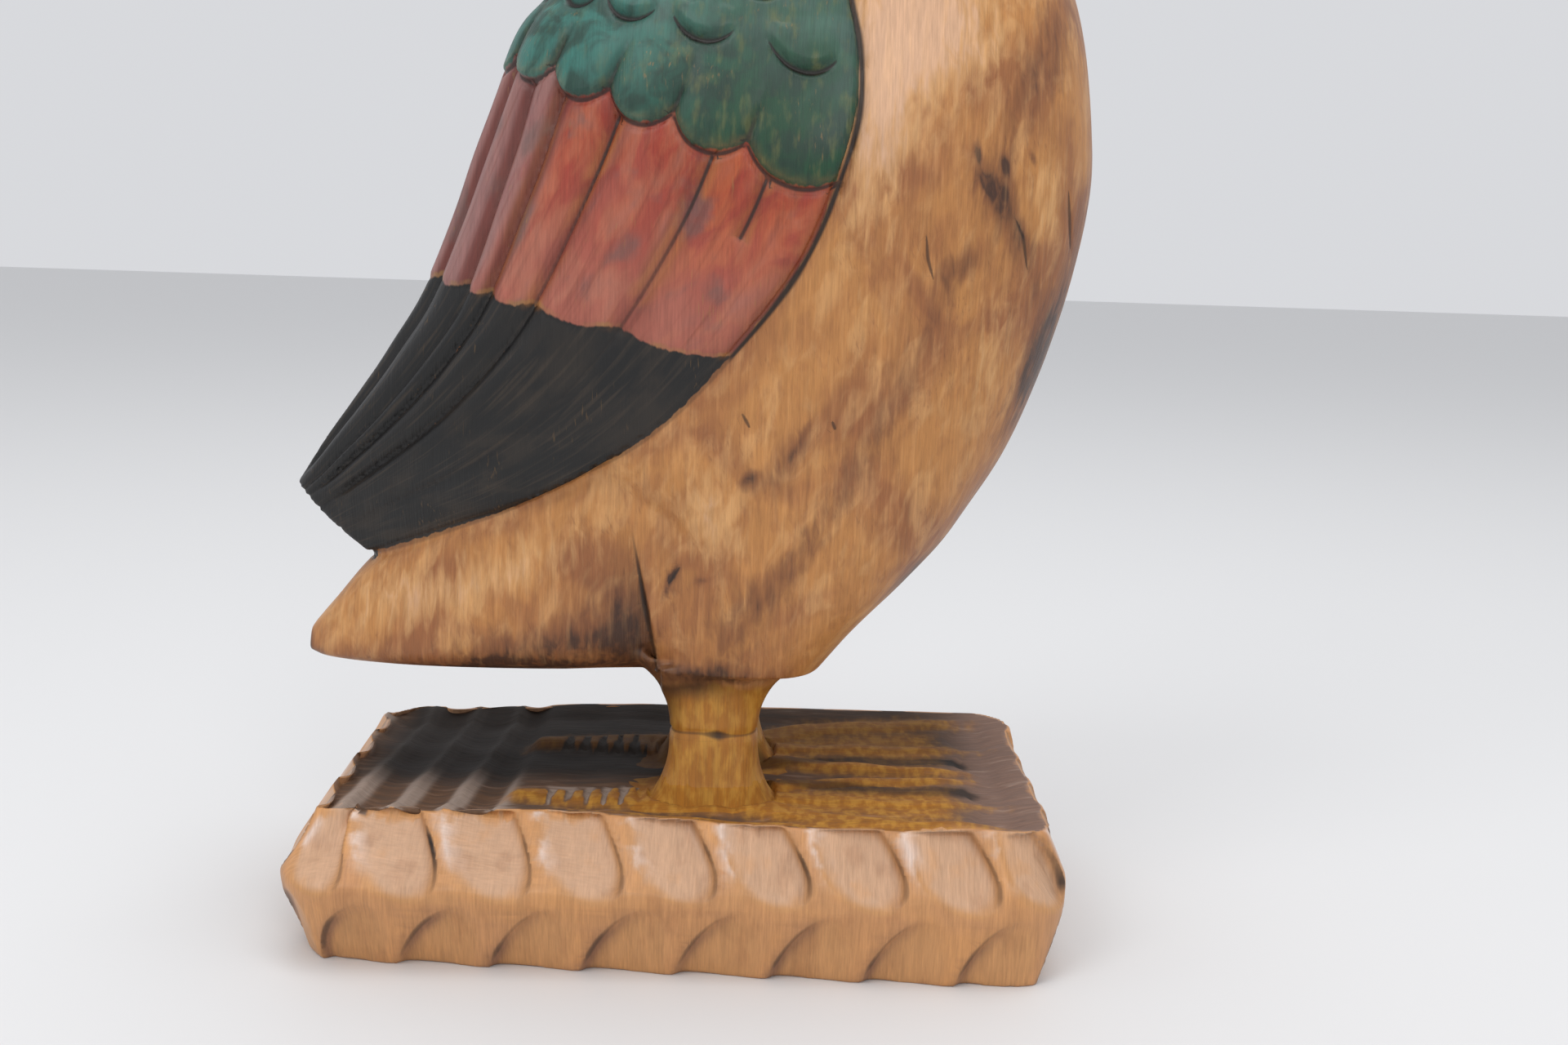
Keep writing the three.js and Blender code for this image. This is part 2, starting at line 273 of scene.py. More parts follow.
def loft(columns: int, rings: int, ring: Ring) -> Form:
    """Draw a closed skin over rings, from a sphere whose rows are moved to them.

    Args:
        columns: Points around each ring.
        rings: How many rings there are.
        ring: Gives the points for shares from 0 to 1 along the form and angles around it.

    Returns:
        The form, with flat ends.
    """
    form = bmesh.new()
    bmesh.ops.create_uvsphere(form, u_segments=columns, v_segments=rings + 1, radius=1.0)
    unit = np.array([vert.co for vert in form.verts])
    row = np.rint(np.arccos(np.clip(unit[:, 2], -1, 1)) / math.pi * (rings + 1)) - 1
    step = 2.0 * math.pi / columns
    angle = np.mod(np.rint(np.arctan2(unit[:, 1], unit[:, 0]) / step), columns) * step
    place = ring(np.clip(row / (rings - 1), 0.0, 1.0), angle)
    place[row < 0] = place[row == 0].mean(axis=0)
    place[row >= rings] = place[row == rings - 1].mean(axis=0)
    for vert, point in zip(form.verts, place):
        vert.co = point
    bmesh.ops.recalc_face_normals(form, faces=form.faces)
    return form


@dataclass(frozen=True)
class TonePatch:
    """A soft patch on the near side, placed as seen from the side. It is the dark heart of the wood
    where its strength is above 0, and a pale patch where it is below 0; the pale patches on the
    upper breast are a painted sheen.
    """

    x: float
    z: float
    long: float
    wide: float
    turn: float
    strength: float

    def over(self, skin: Skin) -> Array:
        """Give the patch's strength at each place.

        Args:
            skin: Places on the block.

        Returns:
            Its strength, fading out from its middle.
        """
        c, s = math.cos(math.radians(self.turn)), math.sin(math.radians(self.turn))
        dx, dz = skin.x - self.x, skin.z - self.z
        reach = ((c * dx + s * dz) / self.long) ** 2 + ((-s * dx + c * dz) / self.wide) ** 2
        return self.strength * np.exp(-reach)


@dataclass(frozen=True)
class Trunk:
    """Body, neck, head and bill in one, with the tail: the bare wood that the wings lie on."""

    lowest: float = 60.0
    belly: float = 87.5
    body: Rows = (
        (44.5, 87.5, -9, 87.5, 43, 3.4), (55, 100, -11, 100, 47, 3.2),
        (72, 117, -13.5, 117, 50.5, 2.8), (86.5, 134, -23, 134, 53, 2.6),
        (102, 158, -62, 158, 56, 2.35), (113, 185, -74, 185, 58, 2.3),
        (121, 214, -66, 214, 59, 2.3), (125.3, 243, -55, 243, 58, 2.3),
        (123, 273, -42, 273, 54, 2.3), (117, 301, -22, 301, 47, 2.2), (104, 327, 0, 327, 38, 2.1),
        (88, 350, 12, 350, 30.5, 2.05), (74, 374, 20, 373, 25, 2), (67, 399, 24, 398, 21.5, 2),
        (66, 425, 26, 425, 19.5, 2), (71, 448, 28, 452, 19, 2), (82, 463, 37, 481, 20, 2),
        (95, 470, 56, 503, 22, 2), (108, 472, 80, 513, 22, 2), (119, 473, 101, 509, 19.5, 2),
        (126, 473, 117, 499, 15, 2.1), (138, 469, 134, 489, 12.5, 2.3),
        (152, 462, 151, 479, 13, 2.5), (163, 457, 165, 468, 10.5, 2.5),
        (167, 457, 169, 463, 5, 2.3),
    )
    tail: Rows = (
        (-120, 95.5, 87, 19, 22), (-114, 103, 85.5, 22, 27), (-100, 119, 84.5, 26, 33),
        (-80, 132, 84, 34, 37), (-50, 150, 84.2, 43, 40), (-20, 164, 85, 49, 41),
        (12, 170, 86, 51, 42),
    )
    tail_power: float = 5.0
    swell: float = 0.25
    swell_length: float = 34.0
    crease_x: float = -7.3
    crease_lean: float = 0.17
    crease_depth: float = 8.0
    crease_length: float = 30.0
    crease_top: float = 134.0
    head_from: float = 440.0
    bill_base: tuple[float, float] = (122.5, 486.0)
    bill_way: tuple[float, float] = (0.966, 0.26)
    bill_cut: Cut = Cut(0.5, 1.2)
    mouth: Rows = ((117, 484), (130, 479), (150, 470), (168, 461.5))
    mouth_cut: Cut = Cut(0.9, 0.8)
    eye: tuple[float, float] = (98.0, 495.0)
    eye_radius: float = 4.0
    eye_swell: float = 0.8
    eye_cut: Cut = Cut(0.7, 0.8)
    eye_cut_out: float = 0.6
    check_cut: Cut = Cut(0.7, 0.6)
    checks: tuple[Rows, ...] = (
        ((69.2, 226.4), (70.0, 219.0), (72.2, 212.2)),
        ((96.0, 232.0), (99.3, 226.0), (101.6, 215.5)), ((113.8, 241.3), (116.7, 221.8)),
        ((-0.5, 123.5), (-4.5, 117.0)), ((16.8, 172.2), (19.8, 167.0)),
        ((43.5, 171.0), (45.0, 167.0)),
    )
    knot_width: float = 2.0
    # Negative strengths give pale patches; those on the upper breast are a painted sheen
    heartwood_and_sheen: Rows = (
        (97, 264, 20, 9, 68, 0.75), (107, 286, 18, 8, 70, 0.62), (95, 231, 17, 5.5, -55, 0.95),
        (103, 212, 13, 4, -70, 0.55), (80, 217, 13, 5, 30, 0.68), (92, 240, 8, 5, -20, 0.35),
        (104, 238, 8, 16, 0, -0.55), (108.5, 189, 24, 5.5, 72, 1.8), (119, 228, 20, 4, 85, 0.6),
        (31, 156, 12, 6, 60, 0.7), (20, 151, 7, 4, 20, 0.7), (73, 119, 14, 5, 50, 1.4),
        (18, 104, 28, 6, 58, 0.55), (37, 130, 28, 5, 60, 0.5), (54, 160, 22, 5, 60, 0.5),
        (68, 192, 24, 5.5, 62, 0.6), (-2, 120, 6, 5, 0, 0.6), (-17, 100, 7, 14, 10, 1.5),
        (-30, 96, 13, 6, 8, 0.8), (-57, 87, 10, 4, 0, 1.5), (-36, 88, 16, 3.5, 0, 1.1),
        (-120, 89, 4, 9, 30, 1.2), (-80, 85.5, 26, 3, 0, 0.9), (10, 88, 20, 4, 0, 1.1),
        (54, 258, 9, 28, -8, -1.0), (66, 286, 24, 20, 0, -1.3), (-56, 94, 22, 7, 8, 0.75),
        (-34, 104, 14, 8, 30, 0.45), (16, 112, 16, 9, 40, 0.35), (-85, 108, 26, 10, 15, -0.6),
        (-50, 122, 26, 8, 22, -0.5), (8, 138, 12, 16, 0, -0.6), (92, 190, 8, 20, -15, -0.4),
        (83.6, 250, 3.4, 1.3, 105, 1.5), (92.2, 246.8, 3.0, 1.4, 100, 1.4),
        (101, 249, 2.6, 1.2, 110, 1.2), (86, 241.5, 3.4, 1.3, 120, 1.1),
        (90.5, 238, 9.0, 3.6, -62, 0.42), (98.5, 228, 5.0, 1.1, -62, 0.5),
        (-3, 120.5, 3.6, 1.1, 60, 1.4), (-5, 115, 3.0, 0.9, 70, 1.2),
        (6.5, 119.5, 2.4, 1.1, 20, 1.0), (19.5, 152.5, 4.4, 1.7, 35, 0.6),
        (33, 161, 5.0, 1.3, 62, 0.6), (36, 168, 3.5, 0.9, 62, 0.5),
    )

    def reach(self, skin: Skin) -> Array:
        """Pick out the places that may be on the trunk."""
        return skin.z > self.lowest

    def _stains(self) -> list[TonePatch]:
        """Give the dark patches of heart wood and the pale ones of painted sheen."""
        return [TonePatch(*row) for row in self.heartwood_and_sheen]

    def knotted(self, skin: Skin) -> Array:
        """Pick out the small dark knots, where the mesh has to stay fine."""
        knots = [stain for stain in self._stains() if stain.wide < self.knot_width]
        return (sum(knot.over(skin) for knot in knots) > 0.05) & (skin.y < 0)

    def forms(self) -> list[Form]:
        """Build the body with its neck and head, and the tail."""
        return [loft(128, 260, self._around_body), loft(96, 90, self._around_tail)]

    def _around_body(self, share: Array, angle: Array) -> Array:
        """Place points around the sloping sections from the belly to the bill's tip.

        Args:
            share: Where each point is along the body, from 0 to 1.
            angle: Where it is around it.

        Returns:
            The places in millimetres.
        """
        last = len(self.body) - 1
        plan = Curve(tuple((i / last, *row) for i, row in enumerate(self.body)))
        front_x, front_z, back_x, back_z, half, power = plan.at(share).T
        c, s = squared(angle, power)
        x = (front_x + back_x) / 2 + (front_x - back_x) / 2 * c
        z = (front_z + back_z) / 2 + (front_z - back_z) / 2 * c
        return np.stack([x, half * s, z], axis=1)

    def _around_tail(self, share: Array, angle: Array) -> Array:
        """Place points around the upright sections from the tail's tip into the body.

        Args:
            share: Where each point is along the tail, from 0 to 1.
            angle: Where it is around it.

        Returns:
            The places in millimetres.
        """
        first, last = self.tail[0][0], self.tail[-1][0]
        x = first + (last - first) * share
        top, bottom, half_top, half_bottom = Curve(self.tail).at(x).T
        c, s = squared(angle, self.tail_power)
        half = half_bottom + (half_top - half_bottom) * (s + 1) / 2
        return np.stack([x, c * half, (top + bottom) / 2 + (top - bottom) / 2 * s], axis=1)

    def _past_crease(self, skin: Skin) -> Array:
        """Give how far each place is in front of the leaning line of the crease."""
        rise = np.clip(skin.z - self.belly, 0.0, self.crease_top - self.belly)
        return skin.x - self.crease_x + self.crease_lean * rise

    def _crease(self, skin: Skin) -> Array:
        """Give how deep the hollow behind the thigh is.

        Args:
            skin: Places on the block.

        Returns:
            Its depth at each place in millimetres.
        """
        past = self._past_crease(skin)
        fade = np.clip((self.crease_top - skin.z) / (self.crease_top - self.belly), 0, 1) ** 0.8
        slope = np.clip(1 + past / self.crease_length, 0, 1) ** 1.4
        side = ease(22.0, 30.0, np.abs(skin.y))
        return self.crease_depth * fade * ease(1.2, -1.0, past) * slope * side

    def _past_bill(self, skin: Skin) -> Array:
        """Give how far each place is past the bill's base.

        Args:
            skin: Places on the block.

        Returns:
            Distances in millimetres.
        """
        past = (skin.x - self.bill_base[0]) * self.bill_way[0]
        past += (skin.z - self.bill_base[1]) * self.bill_way[1]
        return np.where(skin.z > self.head_from, past, FAR_OUTSIDE)

    def _from_eye(self, skin: Skin) -> Array:
        """Give the distance of each place from the nearer eye's middle, seen from the side."""
        flat = np.linalg.norm(skin.side - np.array(self.eye), axis=1)
        return np.where(np.abs(skin.y) > 8, flat, NO_LINE)

    def _near(self, skin: Skin) -> Array:
        """Give 1 on the near side and 0 on the far one."""
        return ease(6.0, -6.0, skin.y)

    def relief(self, skin: Skin) -> Array:
        """Give how far the surface is raised along its normals, or cut where negative.

        Args:
            skin: Places on the block.

        Returns:
            The raise of each place in millimetres.
        """
        sideways = np.abs(skin.normals[:, 1])
        raised = self.swell * ripple(skin.points, self.swell_length, 1.0)
        raised = raised * ease(88.0, 110.0, skin.z)
        raised = raised - self._crease(skin) * sideways
        for check in self.checks:
            gap, share = along_line(skin.side, check)
            raised -= self.check_cut.at(gap) * np.sin(math.pi * share) ** 0.5 * self._near(skin)
        bill = self._past_bill(skin)
        gap, _ = along_line(skin.side, self.mouth)
        raised -= self.mouth_cut.at(gap) * ease(0.0, 4.0, bill) * ease(0.2, 0.5, sideways)
        raised -= self.bill_cut.at(bill)
        eye = self._from_eye(skin)
        raised += self.eye_swell * ease(self.eye_radius, self.eye_radius - 2.0, eye)
        return raised - self.eye_cut.at(eye - self.eye_radius - self.eye_cut_out)

    def marks(self, skin: Skin, pen: Pen) -> Marks:
        """Draw the trunk's dark lines.

        Args:
            skin: Places on the block.
            pen: What draws the lines.

        Returns:
            What else the finish needs to know of the bare wood.
        """
        near = self._near(skin)
        heart = sum(stain.over(skin) for stain in self._stains()) * (0.5 + 0.5 * near)
        below = ease(self.crease_top + 6.0, self.crease_top - 12.0, skin.z)
        side = ease(20.0, 30.0, np.abs(skin.y)) * (skin.z > self.belly - 2.0)
        thin = 0.35 + 0.75 * bell(skin.z - 108.0, 12.0)
        dark = (0.45 + 0.5 * bell(skin.z - 112.0, 16.0)) * below * side
        # A dark line at the crease: painted shade at the step
        pen.draw(self._past_crease(skin) + 0.4, thin, dark)
        for check in self.checks:
            gap, share = along_line(skin.side, check)
            within = ease(0.0, 0.1, share) * ease(1.0, 0.9, share)
            pen.draw(gap, 0.1 + 0.38 * np.sin(math.pi * share), 0.7 * within * near)
        bill = self._past_bill(skin)
        gap, _ = along_line(skin.side, self.mouth)
        pen.draw(gap, 0.6, ease(1.0, 4.0, bill))
        pen.draw(bill + 0.4, 1.0, 0.9 * (skin.z > self.head_from))
        eye = self._from_eye(skin)
        pen.draw(eye - self.eye_radius - self.eye_cut_out, 0.7, 0.9 * (eye < 12))
        return {
            Mark.HEART: heart * ease(70.0, 84.0, skin.z),
            Mark.OCHRE: bill,
            Mark.EYE: self.eye_radius - eye,
            # Painted shade in the hollow behind the thigh
            Mark.SOOT: 0.8 * ease(0.3, 5.0, self._crease(skin)),
        }


@dataclass(frozen=True)
class WingPlace:
    """Where places lie on the nearer wing, with the millimetres that each share stands for."""

    along: Array
    across: Array
    above: Array
    per_along: Array
    per_across: Array


@dataclass(frozen=True)
class WingLines:
    """How far places are from the wing's lines in millimetres, and where in a feather they lie."""

    edge: Array
    tip: Array
    green: Array
    black: Array
    valley: Array
    cusp: Array
    crown: Array
    dome: Array
    feather: Array


@dataclass(frozen=True)
class Wings:
    """The two folded wings: green coverts, red middle feathers and long black ones."""

    stations: Rows = (
        (0.0, 4, 325, 8, 325, 24, 22), (0.1, -27, 314, 37, 309, 42, 3),
        (0.2, -41, 304, 46, 288, 52, 1.5), (0.3, -50, 293, 48.5, 265, 58, 1.5),
        (0.4, -58, 281.6, 44.2, 244.3, 61, 1.5), (0.5, -69, 252, 33, 216, 61.5, 1.5),
        (0.6, -84.5, 209.6, 11.9, 187.3, 60, 1.5), (0.7, -96, 189, -12, 163, 56, 1.5),
        (0.8, -108, 171, -42, 144, 48, 1.5), (0.9, -119, 156, -72, 131, 36, 1.5),
        (1.0, -128.5, 142.5, -100.5, 120, 24, 1.5),
    )
    reach_z: tuple[float, float] = (108.0, 332.0)
    reach_x: float = 60.0
    round_power: float = 2.3
    sink_at_back: float = 6.0
    half_ring: int = 80
    length: float = 240.0
    width: float = 100.0
    valleys: tuple[float, ...] = (0.10, 0.205, 0.305, 0.42, 0.58, 0.782, 0.885)
    valley_drift: tuple[float, ...] = (0.0, 0.0, 0.062, 0.028, 0.0, 0.0, 0.0)
    drift_from: float = 0.41
    drift_over: float = 0.18
    short_valley_end: float = 0.5
    valley_cut: Cut = Cut(1.0, 0.75)
    cusps: tuple[float, ...] = (0.04, 0.206, 0.383, 0.544, 0.688, 0.831, 1.0)
    cusp_along: float = 0.413
    cusp_cut: Cut = Cut(0.9, 0.8)
    scallop: float = 0.024
    scallop_cut: Cut = Cut(1.0, 1.2)
    red_end: float = 0.595
    red_cut: Cut = Cut(0.4, 0.9)
    smiles: tuple[tuple[float, tuple[float, ...], float], ...] = (
        (0.294, (0.15, 0.33, 0.50, 0.68, 0.885), 0.072),
        (0.205, (0.25, 0.42, 0.60, 0.79), 0.075),
        (0.125, (0.36, 0.55, 0.74), 0.075),
    )
    smile_rise: float = 0.031
    smile_cut: Cut = Cut(1.7, 1.2)
    smile_swell: float = 1.4
    edge_cut: Cut = Cut(1.0, 1.35)
    edge_groove: tuple[float, float] = (2.1, 1.3)
    flute_depth: float = 0.6
    rear_flute_depth: float = 2.3
    dome_rise: float = 1.6
    covert_rise: float = 0.4
    black_sunk: float = 0.5

    def reach(self, skin: Skin) -> Array:
        """Pick out the places that may be on a wing."""
        low, high = self.reach_z
        return (skin.z > low) & (skin.z < high) & (skin.x < self.reach_x)

    def surface(self, along: Array, across: Array) -> Array:
        """Place points on the near wing.

        Args:
            along: Shares from the shoulder to the tip.
            across: Shares of the way round from the back to the front edge.

        Returns:
            The places in millimetres.
        """
        back_x, back_z, front_x, front_z, edge, inner = Curve(self.stations).at(along).T
        width = np.hypot(front_x - back_x, front_z - back_z)
        out = 1.0 - np.cos(across * math.pi / 2)
        rise = (1.0 - (1.0 - out) ** self.round_power) ** (1 / self.round_power)
        y = inner + (edge - inner) * rise
        sunk = self.sink_at_back / np.maximum(width, 20) * bell(y, 7.0) * (along > 0.05)
        share = out + sunk
        x, z = back_x + (front_x - back_x) * share, back_z + (front_z - back_z) * share
        return np.stack([x, -y, z], axis=1)

    def forms(self) -> list[Form]:
        """Build both wings as one block whose broad faces are the wings."""
        return [loft(2 * self.half_ring, 220, self._around)]

    def _around(self, share: Array, angle: Array) -> Array:
        """Place points down the near wing and back up the far one.

        Args:
            share: Where each point is from the shoulder to the tip, from 0 to 1.
            angle: Where it is around both wings.

        Returns:
            The places in millimetres.
        """
        turn, half = angle / math.pi, self.half_ring
        far = turn >= 1.0
        across = np.where(far, 2.0 - turn - 1.0 / half, turn) * half / (half - 1)
        across = np.clip(across, 0, 1)
        place = self.surface(share, across)
        place[far, 1] *= -1.0
        return place

    def locate(self, skin: Skin) -> WingPlace:
        """Find where places lie on the nearer wing, once for each set of them.

        Args:
            skin: Places on the block, on either side.

        Returns:
            Their places on the wing.
        """
        if skin.on_wing:
            return skin.on_wing
        rows, columns = 240, 150
        s, c = np.meshgrid(np.linspace(0, 1, rows), np.linspace(0, 1, columns), indexing="ij")
        grid = self.surface(s.ravel(), c.ravel()).reshape(rows, columns, 3)
        way_along = np.gradient(grid, axis=0).reshape(-1, 3) * (rows - 1)
        way_across = np.gradient(grid, axis=1).reshape(-1, 3) * (columns - 1)
        grid = grid.reshape(-1, 3)
        tree = KDTree(len(grid))
        for i, place in enumerate(grid.tolist()):
            tree.insert(place, i)
        tree.balance()
        near = np.stack([skin.x, -np.abs(skin.y), skin.z], axis=1)
        hit = np.array([tree.find(place)[1] for place in near.tolist()])
        delta = near - grid[hit]
        a, b = way_along[hit], way_across[hit]
        aa, ab, bb = (a * a).sum(1), (a * b).sum(1), (b * b).sum(1)
        da, db = (a * delta).sum(1), (b * delta).sum(1)
        det = np.maximum(aa * bb - ab * ab, 1e-6)
        step_a, step_b = (bb * da - ab * db) / det, (aa * db - ab * da) / det
        facing = np.cross(b, a)
        facing /= np.linalg.norm(facing, axis=1)[:, None] + 1e-9
        facing *= np.where(facing[:, 1:2] > 0, -1.0, 1.0)
        along, across = s.ravel()[hit] + step_a, c.ravel()[hit] + step_b
        above = (delta * facing).sum(1)
        skin.on_wing = WingPlace(along, across, above, np.sqrt(aa), np.sqrt(bb))
        return skin.on_wing

    def spread(self, skin: Skin) -> Array:
        """Lay the wing out flat, for streaks that follow the feathers.

        Args:
            skin: Places on the block.

        Returns:
            Their places on the flat wing in metres.
        """
        at = self.locate(skin)
        flat = np.stack([at.across * self.width, at.along * self.length, 0 * at.along], axis=1)
        return flat * MM

    def _lines(self, at: WingPlace) -> WingLines:
        """Measure each place against the wing's own lines.

        Args:
            at: Where the places lie on the wing.

        Returns:
            Their distances from the lines.
        """
        drift = np.clip((at.along - self.drift_from) / self.drift_over, 0, 1.2)
        valleys = np.array(self.valleys) + drift[:, None] * np.array(self.valley_drift)
        every = np.arange(len(at.across))
        which = (at.across[:, None] > valleys).sum(axis=1)
        low = np.where(which > 0, valleys[every, np.maximum(which - 1, 0)], 0.0)
        last = len(self.valleys)
        high = np.where(which < last, valleys[every, np.minimum(which, last - 1)], 1.0)
        # The valley nearest the front is short, so the last two feathers are one below it
        past_short = at.along > self.short_valley_end
        t = (at.across - low) / (high - low)
        wide_t = np.clip((at.across - self.valleys[-2]) / (1.0 - self.valleys[-2]), 0, 1)
        t = np.clip(np.where((which >= last - 1) & past_short, wide_t, t), 0, 1)
        gaps = (at.across[:, None] - valleys) * at.per_across[:, None]
        gaps[:, -1] = np.where(past_short, NO_LINE, gaps[:, -1])
        cusps = np.array(self.cusps)
        cell = np.clip(np.searchsorted(cusps, at.across) - 1, 0, len(cusps) - 2)
        ts = np.clip((at.across - cusps[cell]) / (cusps[cell + 1] - cusps[cell]), 0.0, 1.0)
        hang = self.cusp_along + self.scallop * (1.0 - np.abs(2 * ts - 1) ** 2.4)
        to_cusps = (at.across[:, None] - cusps[1:-1]) * at.per_across[:, None]
        crown = np.sin(math.pi * t)
        return WingLines(
            edge=(1.0 - at.across) * at.per_across,
            tip=(1.0 - at.along) * at.per_along,
            green=(hang - at.along) * at.per_along,
            black=(at.along - (self.red_end + 0.008 * crown)) * at.per_along,
            valley=gaps[every, np.abs(gaps).argmin(axis=1)],
            cusp=to_cusps[every, np.abs(to_cusps).argmin(axis=1)],
            crown=crown,
            dome=np.sin(math.pi * ts),
            feather=which + 0.0,
        )

    def _smile(self, at: WingPlace) -> tuple[Array, Array]:
        """Measure places against the nearest U-shaped cut.

        Args:
            at: Where the places lie on the wing.

        Returns:
            The distance of each from the cut, with a sign for its side, and how strong the cut is.
        """
        best = np.full(len(at.along), NO_LINE)
        fade = np.zeros(len(at.along))
        for low, middles, half in self.smiles:
            for middle in middles:
                t = np.abs((at.across - middle) / half)
                line = low - self.smile_rise * np.clip(t, 0, 1.1) ** 2.2
                gap = (line - at.along) * at.per_along
                nearer = (t < 1.0) & (np.abs(gap) < np.abs(best))
                best = np.where(nearer, gap, best)
                fade = np.where(nearer, np.clip(1.0 - t**3, 0, 1), fade)
        return best, fade

    def _inside(self, skin: Skin, lines: WingLines) -> Array:
        """Give how far each place is inside the wing's outline.

        Args:
            skin: Places on the block.
            lines: Their distances from the wing's lines.

        Returns:
            Distances in millimetres.
        """
        at = self.locate(skin)
        inside = np.minimum(lines.edge, np.where(at.along < 0.22, 2.0 - at.above, 20.0))
        inside = np.minimum(inside, 4.0 - np.abs(at.above))
        _, back_x, back_z, front_x, front_z, _, _ = self.stations[-1]
        gap, _ = along_line(skin.side, ((back_x, back_z), (front_x, front_z)))
        end = (np.abs(gap) < 2.5) & (np.abs(skin.y) < 26)
        return np.where(end, np.maximum(inside, 2.5), inside)

    def relief(self, skin: Skin) -> Array:
        """Give how far the wing's surface is raised along its normals, or cut where negative.

        Args:
            skin: Places on the block.

        Returns:
            The raise of each place in millimetres.
        """
        at = self.locate(skin)
        lines = self._lines(at)
        feathers = ease(0.5, 2.0, -lines.green)
        flute = self.flute_depth + self.rear_flute_depth * ease(0.64, 0.57, at.across)
        flute *= ease(0.0, 16.0, lines.tip) * ease(0.02, 0.14, at.across)
        raised = -flute * (1.0 - lines.crown**0.8) * feathers
        line_depth = (0.8 - 0.35 * ease(0.0, 3.0, lines.black)) * ease(0.25, 0.4, at.across)
        raised -= line_depth * self.valley_cut.at(lines.valley) * feathers
        dome = lines.dome**0.7 * ease(-0.6, 0.8, lines.green)
        spine = ease(0.04, 0.3, at.across)
        raised += self.dome_rise * dome * spine * ease(22.0, 5.0, lines.green)
        raised += self.covert_rise * spine * ease(-0.6, 0.8, lines.green)
        raised -= self.scallop_cut.at(lines.green + 1.2)
        raised -= self.cusp_cut.at(lines.cusp) * self._hem(lines)
        gap, fade = self._smile(at)
        raised -= self.smile_cut.at(gap) * fade
        raised += self.smile_swell * ease(0.8, 3.0, gap) * ease(15.0, 4.0, gap) * fade
        raised -= self.black_sunk * ease(-0.5, 1.0, lines.black) + self.red_cut.at(lines.black)
        deep, less = self.edge_groove
        groove = deep - less * ease(0.56, 0.66, at.along)
        close = (np.abs(at.above) < 6.0) * ease(0.10, 0.16, at.along)
        raised = raised * ease(-0.4, 0.8, self._inside(skin, lines))
        return raised - groove * self.edge_cut.at(lines.edge + 0.5) * close

    def _hem(self, lines: WingLines) -> Array:
        """Give 1 along the lower hem of the green coverts, where the cusps are cut."""
        return ease(-1.0, 1.0, lines.green) * ease(9.0, 4.0, lines.green)

    def marks(self, skin: Skin, pen: Pen) -> Marks:
        """Draw the wings' dark lines.

        Args:
            skin: Places on the block.
            pen: What draws the lines.

        Returns:
            What else the finish needs to know of the wings.
        """
        at = self.locate(skin)
        lines = self._lines(at)
        inside = self._inside(skin, lines)
        on_wing = ease(-2.0, 0.0, inside)
        feathers = ease(0.5, 2.0, -lines.green)
        black = ease(0.0, 2.0, lines.black)
        gap, fade = self._smile(at)
        front = ease(0.5, 0.56, at.across)
        low = 1 - 0.5 * ease(0.47, 0.56, at.along)
        seen = feathers * (0.1 + 0.75 * front) * on_wing * (1 - 0.5 * black) * low
        pen.draw(lines.valley, 0.5, seen)
        pen.draw(lines.cusp, 0.55, 0.6 * self._hem(lines) * on_wing)
        pen.draw(gap + 0.2, 0.35 + 0.5 * fade, 0.95 * ease(0.0, 0.35, fade) * on_wing)
        pen.draw(lines.green + 0.8, 0.65, 0.85 * on_wing)
        close = ease(7.0, 5.0, np.abs(at.above)) * ease(0.10, 0.16, at.along)
        drawn = 0.8 + 0.25 * ripple(skin.points, 23.0, 3.0) * (1 - black)
        pen.draw(lines.edge + 0.5, drawn, 0.95 * close * (1 - 0.6 * black))
        dull = ease(0.50, 0.36, at.across) * 0.8 + 0.25 * chance(lines.feather, 0.3)
        # Painted shade in the feathers' valleys, more towards the back
        valleys = (1.0 - lines.crown) * feathers * (0.45 + 0.55 * (1 - front))
        # Painted shade about the cusps and beside the U-shaped cuts
        fold_shade = bell(lines.cusp, 3.0) * ease(16.0, 2.0, lines.green)
        fold_shade = np.maximum(fold_shade, 0.8 * bell(gap + 1.5, 2.5) * fade)
        rub = 0.35 * bell(lines.green - 1.4, 1.0)
        beside = bell(np.abs(lines.valley) - 1.8, 1.3) * ease(0.3, 0.55, at.across)
        rub += (0.7 * beside + 0.5 * bell(lines.edge - 1.8, 1.5)) * feathers * (1 - black)
        return {
            Mark.RUB: rub * on_wing,
            Mark.WING: inside,
            Mark.GREEN: lines.green,
            Mark.BLACK: lines.black,
            Mark.VALLEY: np.where(lines.green > 0, fold_shade, valleys),
            Mark.TINT: dull,
        }


